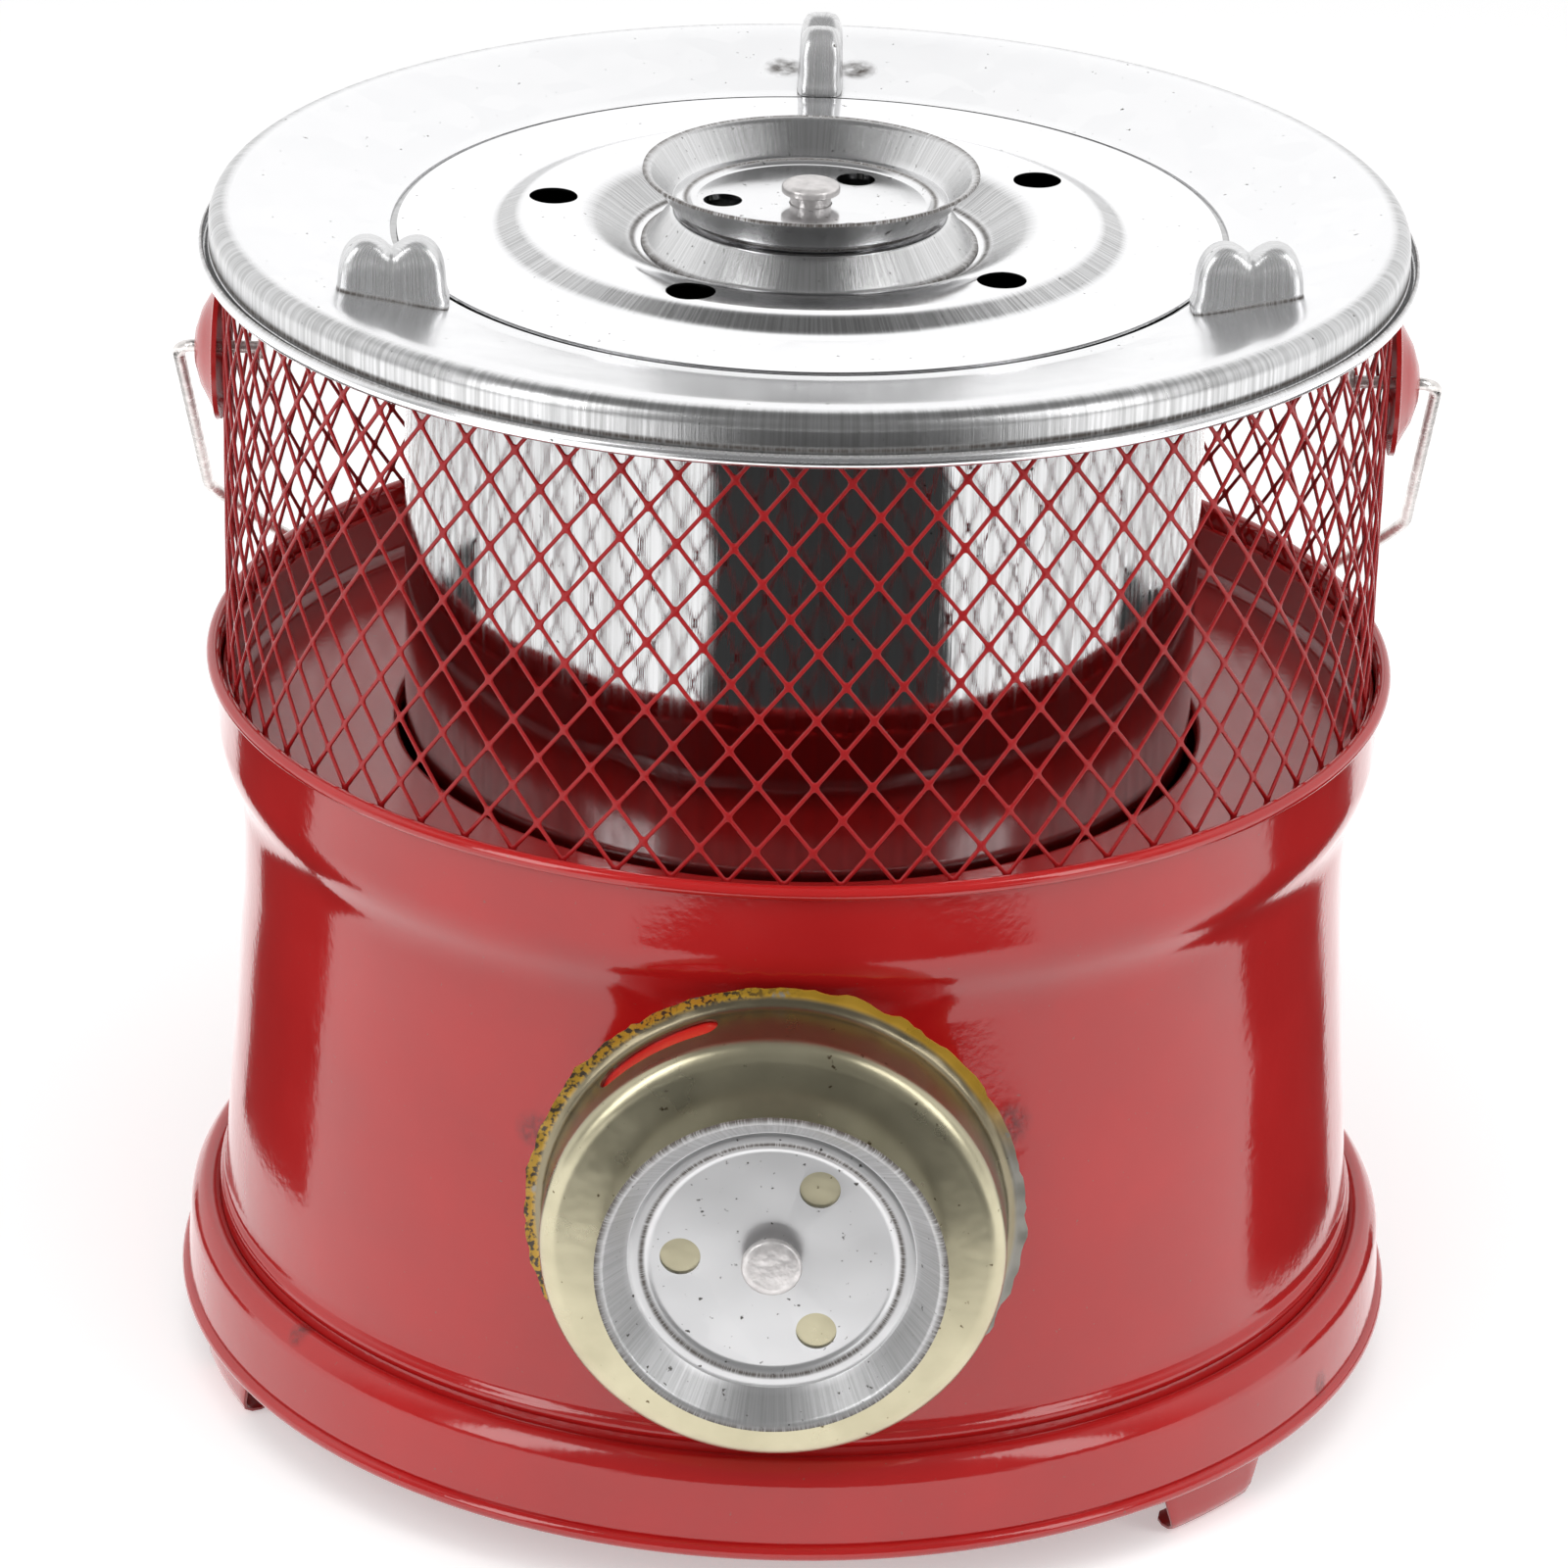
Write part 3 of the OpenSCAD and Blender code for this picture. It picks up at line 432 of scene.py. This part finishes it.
def galvanized(name, rough, bright, fine, along, dark_lines=(), turn=None, centre=(0, 0, 0), drawn_and_shaded=(), dark=0.72,
               marks=(), metal=1.0, up=(0, 0, 1), scratch=0.08, worn=0.73):
    """Bright zinc: spangle, draw streaks that are fine round the piece and slow along it, scratches and
    specks. One list gives dark rings and lines, most of them painted shade in creases and at the feet of
    parts, and another the only streaked rings, which are also painted darker as shade; each is by radius or
    height with its middle and half width in mm. marks are dark spots, some of them burns and some painted
    shade round the feet of parts, and worn is lower where there are more specks."""
    finish, tree, skin, place = blank(name)
    if turn is not None:
        place = brought_home(tree, place, centre, turn)
    streaks = streaked(tree, place, fine, along)
    hair = streaked(tree, place, fine * 4, along * 3)
    ways = {"radius": radius(tree, place), "height": height_of(tree, place, up)}
    # the streaked rings are also darker in colour: draw streaks together with painted shade
    if drawn_and_shaded:
        drawn_shaded_zone = 0.0
        for kind, middle, half in drawn_and_shaded:
            band = sums(tree, "MULTIPLY", ridge(tree, ways[kind], middle, half), 1.6)
            drawn_shaded_zone = sums(tree, "MAXIMUM", drawn_shaded_zone, band)
        drawn_shaded_zone = put(tree, "Clamp", {"Value": drawn_shaded_zone}).outputs[0]
        streaks = put(tree, "Mix", {0: drawn_shaded_zone, 2: 1.0, 3: sums(tree, "MULTIPLY", streaks, 0.5)}).outputs[0]
        hair = sums(tree, "MULTIPLY", hair, drawn_shaded_zone)
    spangle = put(tree, "TexVoronoi", {"Vector": place, "Scale": 130.0, "Randomness": 1.0})
    grain = put(tree, "SeparateColor", {0: spangle.outputs["Color"]}).outputs[0]
    dull, clean = (bright * dark,) * 3 + (1,), (bright, bright, bright * 1.01, 1)
    bluish = (bright * 0.8, bright * 0.82, bright * 0.85, 1)
    tone = blend(tree, streaks, dull, clean)
    tone = blend(tree, sums(tree, "MULTIPLY", grain, 0.08), tone, bluish)
    specks = clouds(tree, place, 620, 2, start=worn, end=worn + 0.06)
    tone = blend(tree, specks, tone, (0.08, 0.075, 0.07, 1))
    gloss = sums(tree, "ADD", sums(tree, "MULTIPLY", streaks, -0.1), rough + 0.12)
    gloss = sums(tree, "ADD", gloss, sums(tree, "MULTIPLY", grain, 0.025))
    # dark rings, lines and spots darken the colour: burn marks, and painted shade in creases and round the
    # feet of parts
    layers = []
    for kind, middle, half in dark_lines:
        ragged = streaked(tree, place, fine * 1.5, 200, 0.3, 0.55, 0.35, 1.0)
        layers.append(sums(tree, "MULTIPLY", ridge(tree, ways[kind], middle, half), ragged))
    for mark in marks:
        soot = clouds(tree, place, 500, 4, low=0.1)
        layers.append(sums(tree, "MULTIPLY", spot(tree, place, *mark), soot))
    skin.inputs["Metallic"].default_value = metal
    if layers:
        grime_and_shade = layers[0]
        for layer in layers[1:]:
            grime_and_shade = sums(tree, "MAXIMUM", grime_and_shade, layer)
        tone = blend(tree, grime_and_shade, tone, (0.1, 0.085, 0.075, 1))
        gloss = sums(tree, "ADD", gloss, sums(tree, "MULTIPLY", grime_and_shade, 0.3))
        tree.links.new(ramped(tree, grime_and_shade, low=metal, high=0.25), skin.inputs["Metallic"])
    dents = clouds(tree, place, 45, 1)
    height = sums(tree, "ADD", sums(tree, "MULTIPLY", hair, scratch), dents)
    surfaced(tree, skin, tone, gloss, height, 0.14)
    return finish


barrel = spun("barrel_sheet", bent(
    (78.3, 127), (82.7, 127, 0.6), (82.7, 130.5, 1.5), (80.5, 132.7, 1.5), (82.7, 134.9, 1.5),
    (82.7, 240.4, 4), (83.8, 247.6, 1), (84.4, 248.4, 0.5), (88, 248.4)), zinc_sheet)
barrel_zinc = galvanized("barrel_zinc", -0.01, 0.52, 60, 9, dark=0.8, scratch=0.02)
fit(barrel, barrel_zinc, "stove", "fire_barrel")


# Grate: a plate of bare steel, punched with rows of holes and dark with heat, held in the foot of the
# barrel between its turned-in edge and its bead. Its solid stays and takes the finish.
def bare_steel(name, dark, light, tone, gloss, relief, strength, deep, metal):
    """Plain steel, whose tone, roughness and relief each come from a noise of scale, detail and range."""
    finish, tree, skin, place = blank(name)
    surfaced(tree, skin, blend(tree, clouds(tree, place, *tone), dark, light), clouds(tree, place, *gloss),
             clouds(tree, place, *relief), strength, deep)
    skin.inputs["Metallic"].default_value = metal
    return finish


scaled_steel = bare_steel("scaled_steel", (0.03, 0.028, 0.027, 1), (0.12, 0.095, 0.08, 1), tone=(90, 5),
                          gloss=(200, 4, 0.45, 0.75), relief=(350, 4), strength=0.3, deep=1.0, metal=0.8)
dress("fire_grate", scaled_steel)


# Mesh guard: expanded sheet, slit and drawn into staggered diamonds, rolled into a ring and dipped in
# enamel. One diamond is modelled flat, repeated, cut to height, rolled and given its thickness.
cells_round, cell_h, mesh_r, mesh_sheet, strand, knot = 68, 14.0, 120.0, 0.7, 0.8, 1.2
cell_w = 2 * math.pi * mesh_r / cells_round
mesh_low, mesh_high, mesh_middle = 154.0, 253.0, 219.5
rows_below, rows_all = 5, 8
cell_mid = (mesh_middle - rows_below * cell_h) * mm
across, up_half = Vector((cell_w / 2, 0, 0)), Vector((0, 0, cell_h / 2))
tips = [across, up_half, -across, -up_half]
bpy.ops.object.select_all(action="DESELECT")
bpy.ops.mesh.primitive_circle_add(vertices=12, radius=1, fill_type="NGON")
guard = bpy.context.object
guard.name = guard.data.name = "guard_mesh"
for corner in guard.data.vertices:
    k = round(math.atan2(corner.co.y, corner.co.x) / math.radians(30)) % 12
    tip, other = tips[(k + 1) // 3 % 4], tips[(k // 3 + (k % 3 == 1)) % 4]
    corner.co = (tip + (other - tip).normalized() * knot * (k % 3 > 0)) * mm + Vector((0, 0, cell_mid))
bpy.ops.object.mode_set(mode="EDIT")
bpy.ops.mesh.select_all(action="SELECT")
bpy.ops.mesh.inset(thickness=strand / 2 * mm, depth=0)
bpy.ops.object.mode_set(mode="OBJECT")
hole = max(guard.data.polygons, key=lambda face: len(face.vertices))
ring = [guard.data.vertices[i] for i in hole.vertices]
for k, corner in enumerate(ring):
    if min(abs(corner.co.x), abs(corner.co.z - cell_mid)) < 0.05 * mm:
        corner.co = (2 * corner.co + ring[k - 1].co + ring[(k + 1) % 12].co) / 4
for face in guard.data.polygons:
    face.select = face.index == hole.index
bpy.ops.object.mode_set(mode="EDIT")
bpy.ops.mesh.select_mode(type="FACE")
bpy.ops.mesh.delete(type="FACE")
bpy.ops.mesh.select_mode(type="VERT")
bpy.ops.mesh.select_all(action="SELECT")
bpy.ops.mesh.duplicate_move(TRANSFORM_OT_translate={"value": (cell_w / 2 * mm, 0, cell_h / 2 * mm)})
bpy.ops.object.mode_set(mode="OBJECT")
for name, count, offset in (
    ("round", cells_round, (cell_w * mm, 0, 0)),
    ("up", rows_all, (0, 0, cell_h * mm)),
):
    rows = guard.modifiers.new(name, "ARRAY")
    rows.count, rows.use_relative_offset, rows.use_constant_offset = count, False, True
    rows.constant_offset_displace = offset
    bpy.ops.object.modifier_apply(modifier=name)
bpy.ops.object.mode_set(mode="EDIT")
bpy.ops.mesh.select_all(action="SELECT")
bpy.ops.mesh.remove_doubles(threshold=0.02 * mm)
bpy.ops.mesh.bisect(plane_co=(0, 0, mesh_low * mm), plane_no=(0, 0, 1), clear_inner=True)
bpy.ops.mesh.select_all(action="SELECT")
bpy.ops.mesh.bisect(plane_co=(0, 0, mesh_high * mm), plane_no=(0, 0, 1), clear_outer=True)
bpy.ops.object.mode_set(mode="OBJECT")
for corner in guard.data.vertices:
    a = corner.co.x / (mesh_r * mm)
    corner.co = (mesh_r * mm * math.cos(a), mesh_r * mm * math.sin(a), corner.co.z)
bpy.ops.object.mode_set(mode="EDIT")
bpy.ops.mesh.select_all(action="SELECT")
bpy.ops.mesh.remove_doubles(threshold=0.02 * mm)
bpy.ops.mesh.normals_make_consistent(inside=False)
bpy.ops.object.mode_set(mode="OBJECT")
thickened(guard, mesh_sheet)
softened(guard, 0.2, 1, 50)
smoothed(guard, 60)
mesh_enamel = enamel("mesh_enamel", (0.37, 0.01, 0.012, 1), 0.25, bend=1.36)
fit(guard, mesh_enamel, "stove", "mesh_guard")


# Ring cover: galvanized sheet pressed with a sunk inner edge, a rounded shoulder and a beaded skirt
# that caps the guard. Heat has browned it round the welds of the back lug. Painted shade darkens it round
# the feet of the side lugs and above the bead, and its shoulder and skirt are streaked and painted darker as
# shade.
cover = spun("cover_ring", bent(
    (86, 249), (89, 249, 1.2), (113.6, 254.2, 3), (116.6, 254.7), *arc(119.6, 251.7, 3, 90, 0),
    (122.6, 247.2, 0.6), *arc(123.8, 246.5, 1.2, 150, 430, 12)), zinc_sheet, steps=192)
# the two spots beside the back lug are weld burns; the two under the side lugs are painted shadow round their
# feet
weld_burns_and_lug_shade = [(8, 99, 252, 5), (-8, 99, 252, 5), (-81.5, -53, 251, 7.5), (88, -41, 251, 7.5)]
# the dark line just above the bead is painted shade in the crease, and the darker streaked ring over the
# shoulder and skirt is painted shade
cover_zinc = galvanized("cover_zinc", 0.2, 0.86, 150, 25, [("height", 248.2, 1.0)],
                        drawn_and_shaded=[("radius", 121.8, 3.6)], dark=0.5, marks=weld_burns_and_lug_shade)
fit(cover, cover_zinc, "stove", "top_cover")


# Pot lugs: two-lobed saddles drawn from galvanized sheet and spot welded to the cover by their skirts.
# Each is pressed out of a ball, fluted, cut to lie on the cover, and set at its place.
def set_down(piece, turn, place):
    """Turns a picked piece, moves it to its place in mm and leaves its object at the origin."""
    piece.rotation_euler = turn
    piece.location = [c * mm for c in place]
    bpy.ops.object.transform_apply(location=True, rotation=True, scale=True)


lug_high, lug_long, lug_wide, lug_mid_r, lug_base = 12.2, 22.4, 10.0, 97.2, 251.1
lobe_x, lobe_r, valley_round, crown, square = 5.2, 5.5, 0.6, 0.14, 6
end_inset, side_inset, flare_out, flare_high, lug_root = 0.95, 0.92, 0.07, 1.3, 3
flute_deep, flute_close, cover_slope = 0.014, 5, 0.21
cover_face, cover_out, cut_low = [(0, 249.35), (89, 249.35), (113.6, 254.5)], 113.6, 240
under_cover = [(0, cut_low), *cover_face, (cover_out, cut_low), (0, cut_low)]
for lug_name, turn, skew in (
    ("pot_lug_back", 90, 0),
    ("pot_lug_left", 213, -30),
    ("pot_lug_right", 335, 30),
):
    bpy.ops.object.select_all(action="DESELECT")
    bpy.ops.mesh.primitive_uv_sphere_add(segments=96, ring_count=48, radius=1)
    lug = bpy.context.object
    lug.name = lug.data.name = lug_name + "_saddle"
    for corner in lug.data.vertices:
        x, y, z = corner.co
        far = (abs(x) ** square + abs(y) ** square + abs(z) ** square) ** (-1 / square)
        x, y, z = lug_long / 2 * end_inset * x * far, lug_wide / 2 * side_inset * y * far, z * far
        off_lobe = math.hypot(x, valley_round) - lobe_x
        hump = lug_high - lobe_r + math.sqrt(max(0, lobe_r ** 2 - off_lobe ** 2))
        z *= hump * (1 - crown * abs(2 * y / lug_wide) ** 3) if z > 0 else lug_root
        flare = 1 + flare_out * math.exp(-max(z, 0) / flare_high)
        flutes = 1 + flute_deep * math.sin(x * flute_close) * min(1, max(0, z - 1))
        corner.co = Vector((x * flare, y * flare * flutes, z)) * mm
    a = math.radians(turn)
    lug_place = (lug_mid_r * math.cos(a), lug_mid_r * math.sin(a), lug_base)
    set_down(lug, (0, 0, math.radians(turn + skew)), lug_place)
    bored(lug, spun("under_cover", under_cover, steps=96))
    smoothed(lug, 50)
    outward = Vector((math.cos(a), math.sin(a), 0))
    # the dark line round the foot, level with the slope of the cover, is painted contact shadow
    lug_zinc = galvanized(lug_name + "_zinc", 0.2, 0.8, 26, 30, [("height", lug_base, 0.9)], (0, 0, 0),
                          lug_mid_r * outward, metal=0.75, up=Vector((0, 0, 1)) - cover_slope * outward)
    fit(lug, lug_zinc, "stove", lug_name)


# Ears: domed discs of enamelled sheet, fixed beside the guard and bored for the ends of the bail.
# Each is spun lying flat and turned out to its side.
ear_line = bent((1.7, 5.4), (4, 5.1), (8, 3.8), (11, 2.1, 1), (13.6, 0.7, 1), (15.1, 0.5))
ear_sheet, ear_x = 1.0, 120.85
for ear_name, side in (("ear_left", -1), ("ear_right", 1)):
    ear = spun(ear_name + "_dome", ear_line, ear_sheet, steps=64)
    set_down(ear, (0, side * math.pi / 2, 0), (side * ear_x, 0, mesh_middle))
    fit(ear, enamel(ear_name + "_enamel", red, 0.2), "stove", ear_name)


# Bail: bright drawn wire, bent at the ears and round into a hoop, its ends headed inside the mesh.
# It is drawn in its own plane, swept, and laid back against the drum.
wire_r, arm_x, bend_r, tail_x = 1.3, 130.55, 4.0, 113.4
corner_x, corner_s, corner_r, corner_a = 116.55, 72.78, 14.0, 22.27
grip_s, grip_r, rest_a = 25.05, 139.95, math.radians(43.92)
half_bail = [(tail_x, 0), (arm_x - bend_r - 1, 0)] + arc(arm_x - bend_r, bend_r, bend_r, -90, 0, 8)
half_bail += [(arm_x, 25), (arm_x, 50)] + arc(corner_x, corner_s, corner_r, 0, corner_a, 8)
half_bail += arc(0, grip_s, grip_r, corner_a, 90, 24)[1:]
route = half_bail + [(-x, s) for x, s in reversed(half_bail[:-1])]
wire_curve = bpy.data.curves.new("bail_wire", "CURVE")
wire_curve.dimensions, wire_curve.bevel_depth, wire_curve.bevel_resolution = "3D", wire_r * mm, 4
wire_curve.use_fill_caps = True
wire_line = wire_curve.splines.new("POLY")
wire_line.points.add(len(route) - 1)
for point, (x, s) in zip(wire_line.points, route):
    point.co = (x * mm, s * math.cos(rest_a) * mm, (mesh_middle - s * math.sin(rest_a)) * mm, 1)
bail = bpy.data.objects.new("bail_wire", wire_curve)
bpy.context.scene.collection.objects.link(bail)
bpy.ops.object.select_all(action="DESELECT")
bail.select_set(True)
bpy.context.view_layer.objects.active = bail
bpy.ops.object.convert(target="MESH")
bail = bpy.context.object
head_r, head_long = 2.5, 1.2
heads = []
for side in (-1, 1):
    middle = (side * (tail_x - head_long / 2), 0, mesh_middle)
    heads.append(rod(head_r, head_long, middle, 24, (0, math.pi / 2, 0)))
    softened(heads[-1], 0.3, 2)
bpy.ops.object.select_all(action="DESELECT")
for part in heads + [bail]:
    part.select_set(True)
bpy.context.view_layer.objects.active = bail
bpy.ops.object.join()
bpy.ops.object.transform_apply(location=True, rotation=True, scale=True)
smoothed(bail, 50)
drawn_wire = bare_steel("drawn_wire", (0.6, 0.57, 0.55, 1), (0.84, 0.81, 0.79, 1), tone=(260, 4),
                        gloss=(900, 2, 0.25, 0.42), relief=(1200, 2), strength=0.1, deep=1.0, metal=1.0)
fit(bail, drawn_wire, "bail", "bail")


# Lid: pressed from galvanized sheet with a raised ring, five punched vents and a sunk middle for the
# knob. It lies loose on the barrel's mouth.
def punched(piece, hole_r, ring_r, turns, z, length, sides):
    """Punches a ring of round holes, at turns in degrees, through a piece that lies flat."""
    spots = [(ring_r * math.cos(a), ring_r * math.sin(a), z) for a in map(math.radians, turns)]
    bored(piece, *[rod(hole_r, length, place, sides) for place in spots])
    smoothed(piece, 40)


lid = spun("lid_sheet", bent(
    (4.4, 245.85), (35.9, 245.85, 4), (44.5, 251.2, 4), (49, 252, 2), (59, 252.05, 1.6), (65.2, 249.25, 2),
    (84.6, 249.25)), zinc_sheet, steps=192)
vent_r, vent_ring_r, vent_turn, vents = 5.0, 53.45, 29, 5
vent_turns = [vent_turn + 360 / vents * i for i in range(vents)]
punched(lid, vent_r, vent_ring_r, vent_turns, z=250, length=20, sides=40)
# the dark line at the foot of the sunk middle, round the knob, is painted shade in the crease; the two darker
# streaked rings on the slopes are draw streaks with painted shade
lid_zinc = galvanized("lid_zinc", 0.08, 0.9, 110, 20, [("radius", 36.5, 1.0)],
                      drawn_and_shaded=[("radius", 41, 7), ("radius", 62.2, 3.6)], dark=0.42)
fit(lid, lid_zinc, "lid", "lid_plate")


# Knob and damper grip: three pressed dishes of one pattern, with a stepped floor, three punched holes
# and a darker rim; painted shade darkens the step of the floor, and the cone is streaked and painted
# darker as shade. Two lie back to back on the lid, and one is turned out on the damper.
dish_line = bent((4.4, 0.3), (24.3, 0.3, 1), (25.6, 1.2, 0.8), (27.6, 1.2, 0.8), (28.4, 1.0, 0.6),
                 (33.2, 7.4, 1), (34.5, 7.7))
dish_hole_r, dish_ring_r, dish_turns = 4.0, 18, (60, 180, 300)
# a dark ring at the rim and painted shade in the step of the floor; the cone wall is streaked and painted
# darker as shade
dish_dark_rings, dish_drawn_and_shaded = [("radius", 34.6, 1.9), ("radius", 25.6, 0.9)], [("radius", 31, 4)]
knob_place, grip_place = (0, 0, 254.15), (0, -141.97, damper_z)
for dish_name, body, turn, place, rough, bright, metal in (
    ("knob_lower_dish", "lid", (math.pi, 0, 0), knob_place, 0.1, 0.84, 1.0),
    ("knob_upper_dish", "lid", (0, 0, 0), knob_place, 0.1, 0.84, 1.0),
    ("damper_dish", "damper", to_front, grip_place, 0.27, 0.62, 0.85),
):
    dish = spun(dish_name + "_pressing", dish_line, zinc_sheet, steps=128)
    punched(dish, dish_hole_r, dish_ring_r, dish_turns, z=0, length=6, sides=36)
    set_down(dish, turn, place)
    dish_zinc = galvanized(dish_name + "_zinc", rough, bright, 70, 40, dish_dark_rings, (-turn[0], 0, 0), place,
                           dish_drawn_and_shaded, 0.65, metal=metal, worn=0.69)
    fit(dish, dish_zinc, body, dish_name)


# Rivets: soft steel, closed by hammer, one through the knob and the lid and one through the grip and
# the cap. Each is spun in one piece, with its shank and both heads.
rivet_r, rivet_head, rivet_up, head_thick = 4.2, 6.0, 5.2, 2.2
for rivet_name, body, turn, place, stack in (
    ("lid_rivet", "lid", (0, 0, 0), knob_place, 8.6),
    ("damper_rivet", "damper", to_front, grip_place, 0.5),
):
    low = -stack
    rivet = spun(rivet_name + "_shank", bent(
        (0, rivet_up), (rivet_head - 1.2, rivet_up - 0.1, 0.8), (rivet_head, rivet_up - 0.7, 0.5),
        (rivet_head, rivet_up - head_thick, 0.3), (rivet_r, rivet_up - head_thick - 0.2, 0.2),
        (rivet_r, low, 0.2), (rivet_head, low, 0.2), (rivet_head, low - head_thick + 0.5, 0.5),
        (rivet_head - 1, low - head_thick, 0.5), (0, low - head_thick)), steps=64, smooth=50)
    set_down(rivet, turn, place)
    hammered = bare_steel(rivet_name + "_steel", (0.56, 0.54, 0.535, 1), (0.76, 0.73, 0.72, 1), tone=(420, 4),
                          gloss=(600, 3, 0.28, 0.5), relief=(380, 3), strength=0.2, deep=0.6, metal=0.6)
    fit(rivet, hammered, body, rivet_name)


# Damper cap: drawn from lacquered tinplate, with a rounded face, an air slot in its side and a hand-cut
# flange that keeps worn yellow lacquer. It is spun upright, cut, and turned to face the front.
tin_sheet, cap_r, cap_deep, flange_y = 0.5, 45.65, 19.3, 122.67
cap_place = (0, -flange_y, damper_z)
cap = spun("cap_shell", bent(
    (4.4, cap_deep - 0.25), (34, cap_deep - 0.25, 8), (43.4, cap_deep - 1.1, 4), (cap_r, cap_deep - 3, 3),
    (cap_r, 2.2, 1.6), (cap_r + 2.2, 0.5, 1), (cap_r + 4, 0.3)), tin_sheet, steps=192)

# the hand-cut flange: its edge wanders in and out, and up and down
flange_from, flange_w = cap_r + 1, 3.2
for corner in cap.data.vertices:
    out = (corner.co.xy.length / mm - flange_from) / flange_w
    if out > 0:
        a = Vector((corner.co.x, corner.co.y, 0)).normalized()
        ragged = noise.noise(a * 9) * 0.9 + noise.noise(a * 24) * 0.5
        corner.co.xy += corner.co.xy.normalized() * ragged * out * mm
        corner.co.z += (noise.noise(a * 14 + Vector((5, 0, 0))) * 0.7 + 0.5) * out * mm

# the air slot: two round ends and a strip swept between them, cut out together
slot_turn, slot_span, slot_low, slot_w, slot_cut = 122, 34, 3.4, 6.5, 8
slot_end, slot_mid = math.degrees(slot_w / 2 / cap_r), slot_low + slot_w / 2
cutters = []
for side in (-1, 1):
    a = math.radians(slot_turn + side * (slot_span / 2 - slot_end))
    middle = (cap_r * math.cos(a), cap_r * math.sin(a), slot_mid)
    cutters.append(rod(slot_w / 2, slot_cut, middle, 32, (0, math.pi / 2, a)))
bpy.ops.object.select_all(action="DESELECT")
bpy.ops.mesh.primitive_plane_add(size=1, rotation=to_front)
strip = bpy.context.object
strip.scale = (slot_cut * mm, slot_w * mm, 1)
strip.location = (cap_r * mm, 0, slot_mid * mm)
bpy.ops.object.transform_apply(location=True, rotation=True, scale=True)
bpy.ops.object.mode_set(mode="EDIT")
bpy.ops.mesh.select_all(action="SELECT")
bpy.ops.mesh.spin(steps=16, angle=math.radians(slot_span - 2 * slot_end), center=(0, 0, 0), axis=(0, 0, 1))
bpy.ops.mesh.select_all(action="SELECT")
bpy.ops.mesh.normals_make_consistent(inside=False)
bpy.ops.object.mode_set(mode="OBJECT")
sweep = max((math.atan2(corner.co.y, corner.co.x) for corner in strip.data.vertices), key=abs)
set_down(strip, (0, 0, math.radians(slot_turn) - sweep / 2), (0, 0, 0))
bored(cap, *cutters, strip)
smoothed(cap, 40)
set_down(cap, to_front, cap_place)


def gold_lacquer(name):
    """Worn gold lacquer on tin: nicks, a side and inner flange darkened as painted shade, and a flange of
    yellow that is gritty on the left, bare on the right and chipped all round."""
    finish, tree, skin, place = blank(name)
    place = brought_home(tree, place, cap_place, (-math.pi / 2, 0, 0))
    way = put(tree, "SeparateXYZ", {0: place}).outputs
    tone = blend(tree, clouds(tree, place, 70, 4), (0.42, 0.385, 0.265, 1), (0.53, 0.49, 0.345, 1))
    nicks = clouds(tree, place, 520, 2, start=0.71, end=0.76)
    tone = blend(tree, nicks, tone, (0.12, 0.09, 0.05, 1))
    # the side wall and the inner part of the flange are darkened: painted shade standing in for the drum's
    # dark reflection
    side = sums(tree, "MULTIPLY", eased(tree, way["Z"], 17.2 * mm, 14.5 * mm), 0.7)
    tone = blend(tree, side, tone, (0.13, 0.1, 0.06, 1))
    on_left = eased(tree, way["X"], 8 * mm, -12 * mm)
    grit = sums(tree, "MULTIPLY", clouds(tree, place, 900, 3, start=0.48, end=0.58), on_left)
    yellow = blend(tree, grit, (0.5, 0.29, 0.03, 1), (0.06, 0.045, 0.03, 1))
    on_right = sums(tree, "MULTIPLY", eased(tree, way["X"], 20 * mm, 36 * mm),
                    eased(tree, way["Y"], 30 * mm, 12 * mm))
    bare = sums(tree, "MAXIMUM", on_right, clouds(tree, place, 130, 4, start=0.62, end=0.66))
    yellow = blend(tree, bare, yellow, (0.3, 0.29, 0.26, 1))
    flange = ramped(tree, radius(tree, place), 47.3 * mm, 48.1 * mm)
    tone = blend(tree, flange, tone, yellow)
    surfaced(tree, skin, tone, clouds(tree, place, 90, 4, 0.26, 0.36), clouds(tree, place, 60, 3), 0.12)
    tree.links.new(ramped(tree, flange, low=0.9, high=0.25), skin.inputs["Metallic"])
    return finish


fit(cap, gold_lacquer("gold_lacquer"), "damper", "damper_cap")
